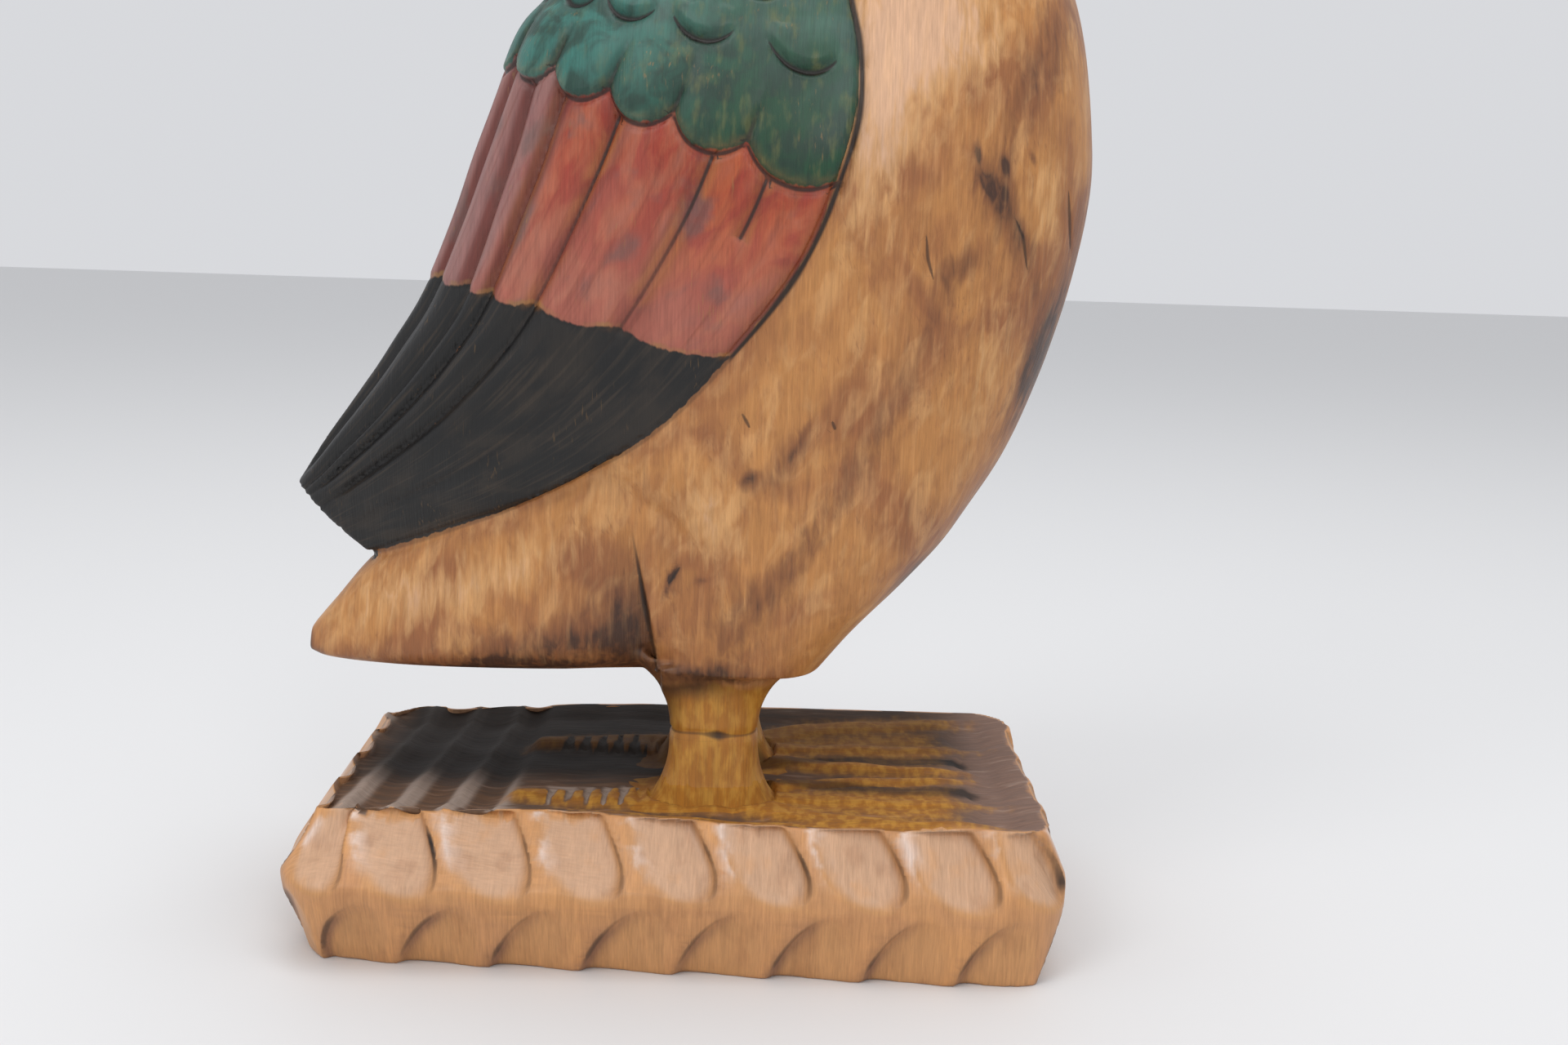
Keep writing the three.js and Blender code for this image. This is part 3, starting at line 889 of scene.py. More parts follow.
@dataclass(frozen=True)
class Legs:
    """Two short legs that flare into the belly and into the ground, cut in at the knee."""

    highest: float = 92.0
    x: float = 10.5
    y: float = 24.0
    sections: Rows = (
        (38, 26, 18), (45.5, 19, 14.5), (52, 16, 12.5), (58, 14.6, 12), (66, 14.2, 11.8),
        (70, 14.3, 11.8), (76, 15.6, 12.4), (83, 19.5, 14.5), (90, 27, 19),
    )
    section_power: float = 2.9
    half_x: float = 22.0
    half_y: float = 16.0
    facet: float = 0.5
    knee: float = 67.3
    knee_cut: Cut = Cut(0.8, 0.9)
    paint_top: float = 84.5
    ground: float = 48.0

    def reach(self, skin: Skin) -> Array:
        """Pick out the places that may be on a leg."""
        return skin.z < self.highest

    def forms(self) -> list[Form]:
        """Build the near leg and the far one."""
        return [loft(72, 60, partial(self._around, side=side)) for side in (-1.0, 1.0)]

    def _around(self, share: Array, angle: Array, side: float) -> Array:
        """Place points around a leg's level sections.

        Args:
            share: Where each point is from the ground to the belly, from 0 to 1.
            angle: Where it is around the leg.
            side: -1 for the near leg and 1 for the far one.

        Returns:
            The places in millimetres.
        """
        low, high = self.sections[0][0], self.sections[-1][0]
        z = low + (high - low) * share
        half_x, half_y = Curve(self.sections).at(z).T
        c, s = squared(angle, self.section_power)
        return np.stack([self.x + half_x * c, side * (self.y + half_y * s), z], axis=1)

    def _beside(self, skin: Skin) -> Array:
        """Pick out the legs.

        Args:
            skin: Places on the block.

        Returns:
            1 at the legs and 0 away from them.
        """
        away = np.abs(np.abs(skin.y) - self.y) - self.half_y
        away = np.maximum(np.abs(skin.x - self.x) - self.half_x, away)
        return ease(4.0, 0.0, away) * ease(41.0, 43.0, skin.z) * ease(92.0, 90.0, skin.z)

    def _above_knee(self, skin: Skin) -> Array:
        """Give how far each place is above the slightly wavy cut at the knee."""
        return skin.z - self.knee - 0.3 * np.sin(skin.x / 4.0)

    def relief(self, skin: Skin) -> Array:
        """Give how far the legs' surface is raised, or cut where negative, in millimetres."""
        facet = self.facet * bell(skin.x - self.x - 9.0, 1.5) * ease(62.0, 58.0, skin.z)
        return self._beside(skin) * (facet - self.knee_cut.at(self._above_knee(skin)))

    def marks(self, skin: Skin, pen: Pen) -> Marks:
        """Draw the line at the knee.

        Args:
            skin: Places on the block.
            pen: What draws the line.

        Returns:
            What else the finish needs to know of the legs.
        """
        by = self._beside(skin)
        inside = np.minimum(self.paint_top - skin.z + 1.2 * np.sin(skin.x / 5.0), 18.0)
        spot = bell(skin.x - self.x - 1.5, 3.0)
        pen.draw(self._above_knee(skin), 0.35 + 1.0 * spot, by * (0.45 + 0.45 * spot))
        # Darker at the leg's top under the belly (stain with painted shade), and painted shade down
        # its back side
        top = ease(77.0, 86.0, skin.z) * (0.3 + 0.9 * bell(skin.x - 3.0, 8.0))
        left = ease(self.x - 8.0, self.x - 14.0, skin.x) * ease(60.0, 80.0, skin.z)
        return {
            Mark.OCHRE: np.where(by > 0.5, inside, FAR_OUTSIDE),
            Mark.SOOT: by * np.clip(top + 0.6 * left, 0, 1) * (skin.z > self.ground),
        }


@dataclass(frozen=True)
class GougeRow:
    """One row of cuts that a broad gouge leaves along the plinth, all leaning one way.

    Places across a cut go from -1 to 1, and its rim is an oval about its foot. The size holds the
    least one, its spread and a pattern of chance, and the foot its height and spread. The rise is
    a fixed part and one that grows with the size. The fall grows with it too, and one without end
    leaves a cut open below. The wall says how steeply the ends come up, and the tilt how much
    deeper one side is than the other. Steep is 1 or -1 for the side that is cut steeply.
    """

    depth: float
    lean: float
    lean_from: float
    start: float
    size: tuple[float, float, float]
    foot: tuple[float, float]
    rise: tuple[float, float]
    fall: float
    across: tuple[float, float]
    wall: tuple[float, float, float, float, float]
    tilt: tuple[float, float, float]
    steep: float

    def cut(self, cell: Array, z: Array, pitch: float) -> tuple[Array, Array, Array]:
        """Work out the cuts of the row.

        Args:
            cell: Where along the row each place is, counted in cuts.
            z: How high it is in millimetres.
            pitch: The distance from cut to cut in millimetres.

        Returns:
            The depth of the cut, how far from its middle each place is (1 is its rim), and how
            far towards its steep side the place is.
        """
        place = cell - self.lean * (z - self.lean_from) / pitch + self.start
        which = np.floor(place)
        s = 2 * (place - which) - 1
        size = self.size[0] + self.size[1] * chance(which, self.size[2])
        t = z - self.foot[0] - self.foot[1] * chance(which, 2.0)
        t = t / np.where(t > 0, self.rise[0] + self.rise[1] * size, self.fall * size)
        rim = np.sqrt(((s - self.across[0]) / (self.across[1] * size)) ** 2 + t * t)
        power, more, low, high, slant = self.wall
        power = power + more * ease(low, high, s + slant * t)
        level, by_s, by_t = self.tilt
        tilt = level + by_s * s + by_t * t
        return self.depth * tilt * np.clip(1 - rim**power, 0, 1), rim, self.steep * s


@dataclass(frozen=True)
class Plinth:
    """The hewn plinth with two rows of gouge cuts, its ground and the webbed feet on it."""

    cut_below: float = 50.0
    marked_below: float = 51.0
    half_length: float = 122.0
    half_depth: float = 72.0
    height: float = 46.0
    ridge: float = 27.0
    corner: float = 22.0
    bottom_skew: float = 5.0
    top_to_back: float = 5.0
    top_to_front: float = 3.0
    profile: Rows = ((0, 5.5), (9, 3.0), (27, 0), (36, 3.2), (46, 8.0))
    ground_rings: Rows = ((46.0, 2.0), (45.4, 6.0), (44.4, 10.0), (43.4, 13.0))
    cut_pitch: float = 28.0
    upper: GougeRow = GougeRow(
        depth=4.6, lean=-0.48, lean_from=36.0, start=0.0, size=(0.95, 0.09, 1.0),
        foot=(34.0, 1.6), rise=(24.0, 0.0), fall=11.5, across=(0.04, 0.86),
        wall=(2.2, 6.5, -0.2, 0.5, 0.4), tilt=(0.62, 0.40, 0.12), steep=1.0,
    )
    lower: GougeRow = GougeRow(
        depth=3.2, lean=0.3, lean_from=12.0, start=0.35, size=(0.94, 0.10, 3.0),
        foot=(1.0, 0.0), rise=(0.0, 22.0), fall=ENDLESS, across=(-0.03, 0.92),
        wall=(2.4, 5.0, 0.3, -0.5, -0.3), tilt=(0.66, -0.36, 0.0), steep=-1.0,
    )
    flutes: tuple[float, ...] = (-108.0, -92.5, -76.0, -60.0)
    flute_half: float = 8.0
    flute_depth: float = 2.6
    flute_slant: float = 0.08
    toes: tuple[tuple[Rows, float, float], ...] = (
        (((12, 29), (-34, 31), (-50, 29)), 14.5, 6.0), (((12, 29), (44, 48), (104, 57)), 9.0, 6.0),
        (((12, 26), (60, 29), (108, 31)), 7.5, 5.5), (((12, 22), (50, 10), (97, 4)), 7.5, 5.0),
    )
    toe_height: float = 2.3
    web_height: float = 1.3
    skew: float = 13.0
    skew_from: float = 50.0
    skew_to: float = -60.0
    far_rise: float = 3.0
    swell: float = 0.5
    swell_length: float = 26.0
    turn_mm: float = 14.0
    turned_out: float = 0.34
    spill: Rows = ((-36, -44), (-7, -51), (18, -56), (53, -58), (104, -58))
    shadow: Rows = ((27, 11), (60, 17), (94, 17))
    nick_first: float = -41.0
    nick_pitch: float = 5.75
    nick_count: int = 6
    nick_depth: float = 1.7
    mm_per_rim: float = 13.0

    def reach(self, skin: Skin) -> Array:
        """Pick out the places that may be on the plinth or the feet."""
        return skin.z < self.marked_below

    def _straight(self) -> Array:
        """Give half of the straight run of the long side and of the short one."""
        return np.array([self.half_length, self.half_depth]) - self.corner

    def _around(self, skin: Skin) -> tuple[Array, Array, Array]:
        """Measure places against the widest outline.

        Args:
            skin: Places on the block.

        Returns:
            The run along the outline, its direction outwards, and the depth behind it.
        """
        half = self._straight()
        inner = np.clip(skin.points[:, :2], -half, half)
        away = skin.points[:, :2] - inner
        length = np.linalg.norm(away, axis=1)
        out = away / np.maximum(length, 1e-6)[:, None]
        turn = np.mod(np.arctan2(out[:, 1], out[:, 0]) - math.pi / 2 + 1e-6, 2 * math.pi)
        (x, y), (long, short) = inner.T, 2 * half
        straight = np.select(
            [turn < math.pi / 2 - 1e-5, turn < math.pi - 1e-5, turn < 1.5 * math.pi - 1e-5],
            [long / 2 - x, long + short / 2 - y, long + short + long / 2 + x],
            2 * long + short + short / 2 + y,
        )
        return self.corner * turn + straight, out, self.corner - length

    def _skewed(self, out: Array, x: Array) -> Array:
        """Give how much further in the near top edge lies towards the tail, in millimetres."""
        more = self.skew * ease(self.skew_from, self.skew_to, x) - 3.0
        return np.clip(-out[:, 1], 0, 1) * more

    def _up_slope(self, z: Array) -> Array:
        """Give how far up from the ridge to the top each height is, from 0 to 1."""
        return np.clip((z - self.ridge) / (self.height - self.ridge), 0, 1)

    def _top_shift(self, out: Array, x: Array) -> Array:
        """Give how much further in the top edge lies than the profile alone would have it."""
        return -out[:, 1] * self.top_to_back - out[:, 0] * self.top_to_front + self._skewed(out, x)

    def _levels(self) -> Array:
        """List the heights of the rings, with how far each of them is drawn in."""
        heights = [*np.linspace(0, 44.5, 46), 45.4, 45.9, 46.0]
        return np.array([(z, 0.0) for z in heights] + list(self.ground_rings))

    def forms(self) -> list[Form]:
        """Build the plinth before the gouge has cut it."""
        return [loft(640, len(self._levels()), self._ring)]

    def _ring(self, share: Array, angle: Array) -> Array:
        """Place points around the outline at each level.

        Args:
            share: Where each point is from the underside to the middle of the top, from 0 to 1.
            angle: Where it is around the plinth.

        Returns:
            The places in millimetres.
        """
        levels = self._levels()
        z, back = levels[np.rint(share * (len(levels) - 1)).astype(int)].T
        # Angles are spread over the rounded rectangle so that every side has its points
        c, s = np.cos(angle), np.sin(angle)
        reach = np.maximum(np.abs(c) / self.half_length, np.abs(s) / self.half_depth)
        edge = np.stack([c / reach, s / reach], axis=1)
        inner = np.clip(edge, -self._straight(), self._straight())
        away = edge - inner
        out = away / np.linalg.norm(away, axis=1)[:, None]
        low = np.clip(1 - z / self.ridge, 0, 1)
        skew = np.clip(-out[:, 1], 0, 1) * self.bottom_skew * -edge[:, 0] / self.half_length
        shift = self._up_slope(z) * self._top_shift(out, edge[:, 0])
        inset = Curve(self.profile).at(z)[:, 0] + low * skew + shift + back
        flat = inner + out * (self.corner - inset)[:, None]
        return np.stack([flat[:, 0], flat[:, 1], z], axis=1)

    def _cuts(self, skin: Skin, z: Array) -> tuple[Array, Array, Array, Array]:
        """Work out the gouge cuts on the sides.

        Args:
            skin: Places on the block.
            z: The height at which each of them is looked at.

        Returns:
            The depth of the cut, how far from its middle each place is (1 is its rim), whether
            it is in the upper row, and how far towards its steep side the place is.
        """
        run, _, _ = self._around(skin)
        total = 4 * self._straight().sum() + 2 * math.pi * self.corner
        cell = run / total * round(total / self.cut_pitch)
        up, up_rim, up_steep = self.upper.cut(cell, z, self.cut_pitch)
        low, low_rim, low_steep = self.lower.cut(cell, z, self.cut_pitch)
        upper = (up > low) | ((up == low) & (up_rim < low_rim))
        steep = np.where(upper, up_steep, low_steep)
        return np.maximum(up, low), np.where(upper, up_rim, low_rim), upper, steep

    def _side(self, skin: Skin) -> Array:
        """Pick out the plinth's sides.

        Args:
            skin: Places on the block.

        Returns:
            1 on them and 0 on its top, its underside and the bird.
        """
        _, out, back = self._around(skin)
        back = back - self._up_slope(skin.z) * self._skewed(out, skin.x)
        on = ease(0.94, 0.85, skin.normals[:, 2])
        return on * ease(49.0, 47.0, skin.z) * ease(21.0, 13.5, back)

    def _toe_gap(self, skin: Skin) -> Array:
        """Give how far each place is inside a toe.

        Args:
            skin: Places on the block.

        Returns:
            Distances in millimetres.
        """
        flat = np.stack([skin.x, np.abs(skin.y)], axis=1)
        best = np.full(len(flat), FAR_OUTSIDE)
        for line, root, tip in self.toes:
            gap, share = along_line(flat, line)
            best = np.maximum(best, root + (tip - root) * share - np.abs(gap))
        return best

    def _web_gap(self, skin: Skin) -> Array:
        """Give how far each place is inside the web between the front toes.

        Args:
            skin: Places on the block.

        Returns:
            Distances in millimetres.
        """
        x, y = skin.x, np.abs(skin.y)
        share = np.clip((x - 12.0) / 90.0, 0, 1)
        # The web's front edge is hollow between one toe and the next
        hollow = 8.0 * np.abs(np.sin(math.pi * (y - 4.0) / 26.0))
        outer = 34.0 + 20.0 * share**0.5 - y
        inner = y - (22.0 - 17.0 * share)
        return np.minimum(np.minimum(outer, inner), np.minimum(102.0 - hollow - x, x - 14.0))

    def _fluted(self, skin: Skin) -> Array:
        """Give how deep the flutes across the ground behind the bird are, from 0 to 1."""
        off = skin.x[:, None] - np.array(self.flutes) - self.flute_slant * skin.y[:, None]
        return np.clip(1 - (off / self.flute_half) ** 2, 0, 1).max(axis=1)

    def _nicked(self, skin: Skin) -> Array:
        """Give how deep the small chisel nicks along the hind toe are.

        Args:
            skin: Places on the block.

        Returns:
            Depths from 0 to 1.
        """
        y = np.abs(skin.y)
        half = 2.4 * (1 - np.clip((y - 19.0) / 19.0, 0, 1)) + 0.4
        middles = self.nick_first + self.nick_pitch * np.arange(self.nick_count)
        off = np.abs(skin.x[:, None] - middles).min(axis=1)
        return np.clip(1 - off / half, 0, 1) * ease(17.0, 19.0, y) * (y < 38)

    def _ground_edge(self, skin: Skin) -> Array:
        """Give how far each place is inside the edge of the plinth's top.

        Args:
            skin: Places on the block.

        Returns:
            Distances in millimetres.
        """
        _, out, back = self._around(skin)
        depth = self._cuts(skin, np.full(len(back), self.height - 0.5))[0]
        rim = self.profile[-1][1] + self._top_shift(out, skin.x)
        inside = np.where(back >= self.corner - 0.01, 20.0, back - rim - 0.6 * depth)
        # Where the skin turns over the edge, the way that it faces says where the top ends
        outward = (skin.normals[:, :2] * out).sum(axis=1)
        turned = self.turn_mm * (self.turned_out - outward)
        inside = np.where(inside < 6.0, np.minimum(inside, turned), inside)
        near = (skin.x < 0.0) & (skin.y < -41.0)
        turned = self.turn_mm * (self.turned_out + skin.normals[:, 1])
        inside = np.where(near, np.minimum(inside, turned), inside)
        return np.where(np.abs(skin.z - self.height) < 9.0, inside, FAR_OUTSIDE)

    def _top(self, skin: Skin) -> Array:
        """Give 1 on the plinth's top."""
        low = ease(49.5, 48.0, skin.z) * ease(38.0, 41.0, skin.z)
        return low * ease(0.84, 0.93, skin.normals[:, 2])

    def shift(self, skin: Skin) -> Array:
        """Give how far each place is moved by the gouge, the toes and the flutes.

        Args:
            skin: Places on the block.

        Returns:
            A move in millimetres for each place.
        """
        depth = self._cuts(skin, skin.z)[0]
        _, out, back = self._around(skin)
        move = np.zeros_like(skin.points)
        move[:, :2] = -out * (depth * self._side(skin))[:, None]
        toe = self._toe_gap(skin)
        rise = self.toe_height * ease(-1.5, 5.0, toe) * ease(118.0, 84.0, skin.x)
        rise = np.maximum(rise, self.web_height * ease(-1.0, 2.0, self._web_gap(skin)))
        rise -= self.nick_depth * self._nicked(skin) * ease(0.0, 1.0, toe)
        rise -= self.flute_depth * self._fluted(skin) * ease(-50.0, -58.0, skin.x)
        rise += self.swell * ripple(skin.points, self.swell_length, 2.0)
        rise *= ease(1.0, 9.0, back)
        move[:, 2] = rise * self._top(skin)
        lift = self.far_rise * ease(30.0, 62.0, skin.y) * ease(-95.0, -15.0, skin.x)
        move[:, 2] += lift * ease(30.0, 45.0, skin.z)
        return move

    def marks(self, skin: Skin, pen: Pen) -> Marks:
        """Draw the plinth's dark lines.

        Args:
            skin: Places on the block.
            pen: What draws the lines.

        Returns:
            What else the finish needs to know of the plinth and the feet.
        """
        x, z = skin.x, skin.z
        _, rim, upper, steep = self._cuts(skin, z)
        side = self._side(skin)
        ground = self._ground_edge(skin)
        top = ease(-1.0, 0.5, ground)
        patchy = 0.4 + 0.6 * ease(0.35, 0.7, 0.5 + 0.5 * ripple(skin.points, 41.0, 5.0))
        low = 0.6 * ease(1.0, 7.0, z) * ease(24.0, 16.0, z)
        level = np.where(upper, ease(25.0, 30.0, z) * ease(43.0, 38.0, z), low)
        # Dark lines at the steep walls of the cuts: painted shade, with dirt in the crevice
        wall = ease(0.2, 0.55, steep) * side * level * patchy
        pen.draw((rim - 0.98) * self.mm_per_rim, 0.3 + 0.8 * level * patchy, wall)
        kind = np.where(upper, 1.0, 0.35) * ease(1.2, 0.6, rim)
        # Painted shade inside the steep side of each cut
        cut_shade = np.where(upper, 0.55 * ease(22.0, 28.0, z), 1.0) * patchy
        cut_shade *= bell((rim - 0.9) * self.mm_per_rim, 2.2) * ease(0.0, 0.45, steep) * side
        # Painted highlight on the gentle rims of the upper cuts, with some wear
        highlit_crest = bell((rim - 0.95) * self.mm_per_rim, 1.8) * ease(-0.2, -0.6, steep) * side
        nicks = self._nicked(skin)
        # Painted sheen on the ridges between the flutes
        ridge = ease(0.9, 0.3, self._fluted(skin)) * ease(-50.0, -58.0, x)
        gap, share = along_line(skin.points[:, :2], self.spill)
        painted = np.maximum(self._toe_gap(skin), 0.5 * self._web_gap(skin) - 2.0)
        painted = np.maximum(painted, 2.0 + 4.0 * share - np.abs(gap)) - 30.0 * nicks
        # The feet's paint is thin and rubbed, more so towards the tips of the toes
        painted = np.minimum(0.35 * painted, 1.3) - 2.2 * ease(74.0, 112.0, x)
        return {
            Mark.OCHRE: np.where(ground > -1.5, painted, FAR_OUTSIDE),
            Mark.GROUND: ground,
            Mark.VALLEY: cut_shade * (1 - top),
            Mark.GOUGE: kind * side * (1 - top) + np.maximum(ridge, nicks) * top,
            Mark.SOOT: top * self._ground_stain_and_shadow(skin),
            Mark.RUB: highlit_crest * ease(29.0, 37.0, z) * upper,
        }

    def _ground_stain_and_shadow(self, skin: Skin) -> Array:
        """Give how dark the ground is: stain, with painted shadow under the bird and between the
        toes.

        Args:
            skin: Places on the block.

        Returns:
            How dark it is, from 0 to 1.
        """
        x, y = skin.x, skin.y
        # Painted shadow with stain behind and under the bird
        behind = ease(24.0, -10.0, x) * ease(-24.0, 4.0, y) * ease(-119.0, -98.0, x)
        gap, _ = along_line(np.stack([x, np.abs(y)], axis=1), self.shadow)
        between = 0.85 * ease(6.0, 2.5, np.abs(gap))
        far = 0.75 * ease(5.0, 25.0, x) * ease(8.0, 40.0, y) * ease(112.0, 84.0, x)
        return np.clip(behind + between + far, 0, 1)


def linear(code: str) -> tuple[float, float, float, float]:
    """Turn an sRGB hex colour to linear.

    Args:
        code: The colour as six hex digits.

    Returns:
        Linear red, green and blue, with an alpha of 1.
    """
    channels = [int(code[i : i + 2], 16) / 255 for i in (0, 2, 4)]
    red, green, blue = (
        c / 12.92 if c <= 0.04045 else ((c + 0.055) / 1.055) ** 2.4 for c in channels
    )
    return red, green, blue, 1.0


@dataclass(frozen=True)
class BareWood:
    """Oiled hardwood with the grain upright: honey sapwood, brown heart and fine open pores. A pale
    painted sheen lies on the upper breast, and painted shade lies in the crease and on the legs.
    """

    pale: str = "d09f69"
    honey: str = "b67d45"
    brown: str = "935c35"
    heart: str = "6f4228"
    black_heart: str = "33201a"
    # Painted sheen: the pale pinkish tone on the upper breast
    pale_sheen: str = "d6ac8e"
    # Painted shade with some stain: in the crease behind the thigh and on the top and back of the
    # legs
    smoke_and_shade: str = "3d261a"
    # Dirt in the cuts, with painted shade along the plinth's cut walls and at the crease
    cut_dirt_and_shade: str = "1a100b"
    eye: str = "14100e"
    fibre_mm: float = 0.55
    streak_mm: float = 2.2
    cloud_mm: float = 38.0


@dataclass(frozen=True)
class WingStain:
    """Thin coloured stain, worn back so that the wood grins through along the grain. Its deep green
    and deep red also lie as painted shade in the hollows, and a paler green lies as a painted sheen
    at the top of the coverts.
    """

    green: str = "2f6a60"
    green_front: str = "133f26"
    green_deep: str = "172f24"
    # Painted sheen: a paler green at the top of the coverts
    green_sheen: str = "68897f"
    green_olive: str = "66683a"
    red: str = "932d1a"
    red_pale: str = "a87261"
    red_dull: str = "8a6663"
    red_deep: str = "5f2014"
    orange: str = "a94f27"
    grey: str = "62504c"
    black: str = "0c0b0b"
    black_worn: str = "362c22"
    wear: str = "94703f"
    rubbed_and_highlit: str = "b1702f"
    ragged_mm: float = 2.4


@dataclass(frozen=True)
class FootPaint:
    """Ochre paint on the legs, toes and bill, darkened by dirt and painted shade in the hollows and
    on the legs' shaded side.
    """

    ochre: str = "a1671a"
    ochre_pale: str = "b8832f"
    # Darkens the paint where there is dirt and painted shade
    dirt_and_shade: str = "42290f"
    cover: float = 0.92


@dataclass(frozen=True)
class HewnWood:
    """The plinth: pinkish gouge cuts above, browner ones below and a dark stained ground. The
    ground also carries painted shadow under the bird and a painted sheen on its flutes' ridges. The
    cuts carry painted shade on their steep walls and painted highlights on their rims.
    """

    pink: str = "c49b7a"
    orange: str = "cb9159"
    brown: str = "c08a5c"
    lower: str = "bf8b5a"
    dark: str = "8f5c38"
    shade: str = "7a5543"
    # Painted highlight, pale pink, on the upper cuts' rims
    rubbed_and_highlit: str = "e2cfc4"
    ground: str = "5a4434"
    # Stain with painted shadow under the bird
    ground_dark_stain_and_shadow: str = "17120f"
    ground_brown: str = "6f4f37"
    # Pale ground, with a painted sheen on the flutes' ridges
    ground_pale_and_sheen: str = "ab998c"
    ground_pink: str = "8b7166"
    top: float = 0.05


@dataclass(frozen=True)
class Varnish:
    """One thin coat of satin varnish over wood and stain alike, worn off the ground."""

    roughness: float = 0.32
    roughness_change: float = 0.22
    ground_roughness: float = 0.35
    coat: float = 0.16
    coat_roughness: float = 0.3
    ior: float = 1.42
    fibre_bump: float = 0.00035
    streak_bump: float = 0.0006
    bump_strength: float = 0.5


class CarvedWood:
    """The finish of the whole block: bare wood, stains, paint and varnish in one material."""

    def __init__(self) -> None:
        """Start an empty material, which is hand-carved hardwood under satin varnish."""
        # To the eye: warm wood with upright grain, thin stain that shows it, and soft highlights
        self.material = bpy.data.materials.new("varnished_carved_hardwood")
        self.material.use_nodes = True
        self.tree = self.material.node_tree
        self.tree.nodes.clear()
        self.wood, self.stain, self.paint = BareWood(), WingStain(), FootPaint()
        self.hewn, self.varnish = HewnWood(), Varnish()

    def node(self, kind: str, inputs: dict | None = None, **settings: object) -> bpy.types.Node:
        """Add a node with its settings and links.

        Args:
            kind: The node's type.
            inputs: Values or sockets for its inputs, by name or number.
            **settings: Attributes of the node.

        Returns:
            The new node.
        """
        made = self.tree.nodes.new(kind)
        for name, value in settings.items():
            setattr(made, name, value)
        for name, value in (inputs or {}).items():
            if isinstance(value, Socket):
                self.tree.links.new(value, made.inputs[name])
            else:
                made.inputs[name].default_value = value
        return made

    def mark(self, mark: Mark) -> Socket:
        """Read a fact kept on the mesh."""
        return self.node("ShaderNodeAttribute", attribute_name=mark.value).outputs["Fac"]

    def sum(self, operation: str, a: object, b: object = 0.0, c: object = 0.0) -> Socket:
        """Do one sum on sockets or numbers."""
        return self.node("ShaderNodeMath", {0: a, 1: b, 2: c}, operation=operation).outputs[0]

    def step(self, value: Socket, low: float, high: float) -> Socket:
        """Rise smoothly from 0 at low to 1 at high."""
        inputs = {"Value": value, "From Min": low, "From Max": high}
        return self.node("ShaderNodeMapRange", inputs, interpolation_type="SMOOTHSTEP").outputs[0]

    def frayed(self, mark: Mark, noise: Socket, much: float) -> Socket:
        """Read a fact kept on the mesh, moved up and down by a noise about 0.5."""
        return self.sum("MULTIPLY_ADD", self.sum("SUBTRACT", noise, 0.5), much, self.mark(mark))

    def mix(self, share: Socket, a: str | Socket, b: str | Socket) -> Socket:
        """Mix two colours, each a hex code or a socket."""
        a, b = (linear(value) if isinstance(value, str) else value for value in (a, b))
        return self.node("ShaderNodeMix", {0: share, 6: a, 7: b}, data_type="RGBA").outputs[2]

    def over(self, colour: str | Socket, *layers: tuple[Socket, float, str | Socket]) -> Socket:
        """Lay colours over each other.

        Args:
            colour: The colour beneath.
            *layers: For each one where it lies, how much of it covers there, and its colour.

        Returns:
            What is seen of them all.
        """
        for share, amount, top in layers:
            colour = self.mix(self.sum("MULTIPLY", share, amount), colour, top)
        return colour

    def noise(
        self, size: tuple[float, float, float], detail: float = 3.0, turn: float = 0.0,
        shift: float = 0.0, warp: float = 0.0, laid: bool = False,
    ) -> Socket:
        """Give a noise whose grains have a real size.

        Args:
            size: Grain size along x, y and z in millimetres.
            detail: Octaves of detail.
            turn: Lean of the grain about the y axis in degrees.
            shift: Moves the pattern, so that two of one size differ.
            warp: How far the pattern is distorted.
            laid: Follow the wing laid out flat, with x across the feathers and y along them.

        Returns:
            A socket with values about 0.5.
        """
        if laid:
            coords = self.node("ShaderNodeAttribute", attribute_name=WING_PLACE).outputs["Vector"]
        else:
            coords = self.node("ShaderNodeTexCoord").outputs["Object"]
        turned = {"Vector": coords, "Rotation": (0.0, math.radians(turn), 0.0)}
        scaled = {
            "Vector": self.node("ShaderNodeMapping", turned).outputs[0],
            "Scale": tuple(1.0 / (s * MM) for s in size),
            "Location": (shift, shift * 0.7, shift * 1.3),
        }
        place = self.node("ShaderNodeMapping", scaled).outputs[0]
        inputs = {"Vector": place, "Scale": 1.0, "Detail": detail, "Distortion": warp}
        return self.node("ShaderNodeTexNoise", inputs).outputs["Fac"]

    def grain(self, width: float, length: float, shift: float) -> Socket:
        """Give upright streaks of a real size on the sides and on the ends alike.

        Args:
            width: Width of a streak in millimetres.
            length: Its length in millimetres.
            shift: Moves the pattern.

        Returns:
            A socket with values about 0.5.
        """
        normal = self.node("ShaderNodeTexCoord").outputs["Normal"]
        y = self.node("ShaderNodeSeparateXYZ", {0: normal}).outputs["Y"]
        sideways = self.step(self.sum("ABSOLUTE", y), 0.45, 0.75)
        on_side = self.noise((width, 8.0 * width, length), 3.0, shift=shift)
        on_end = self.noise((8.0 * width, width, length), 3.0, shift=shift)
        inputs = {0: sideways, 2: on_end, 3: on_side}
        return self.node("ShaderNodeMix", inputs, data_type="FLOAT").outputs[0]

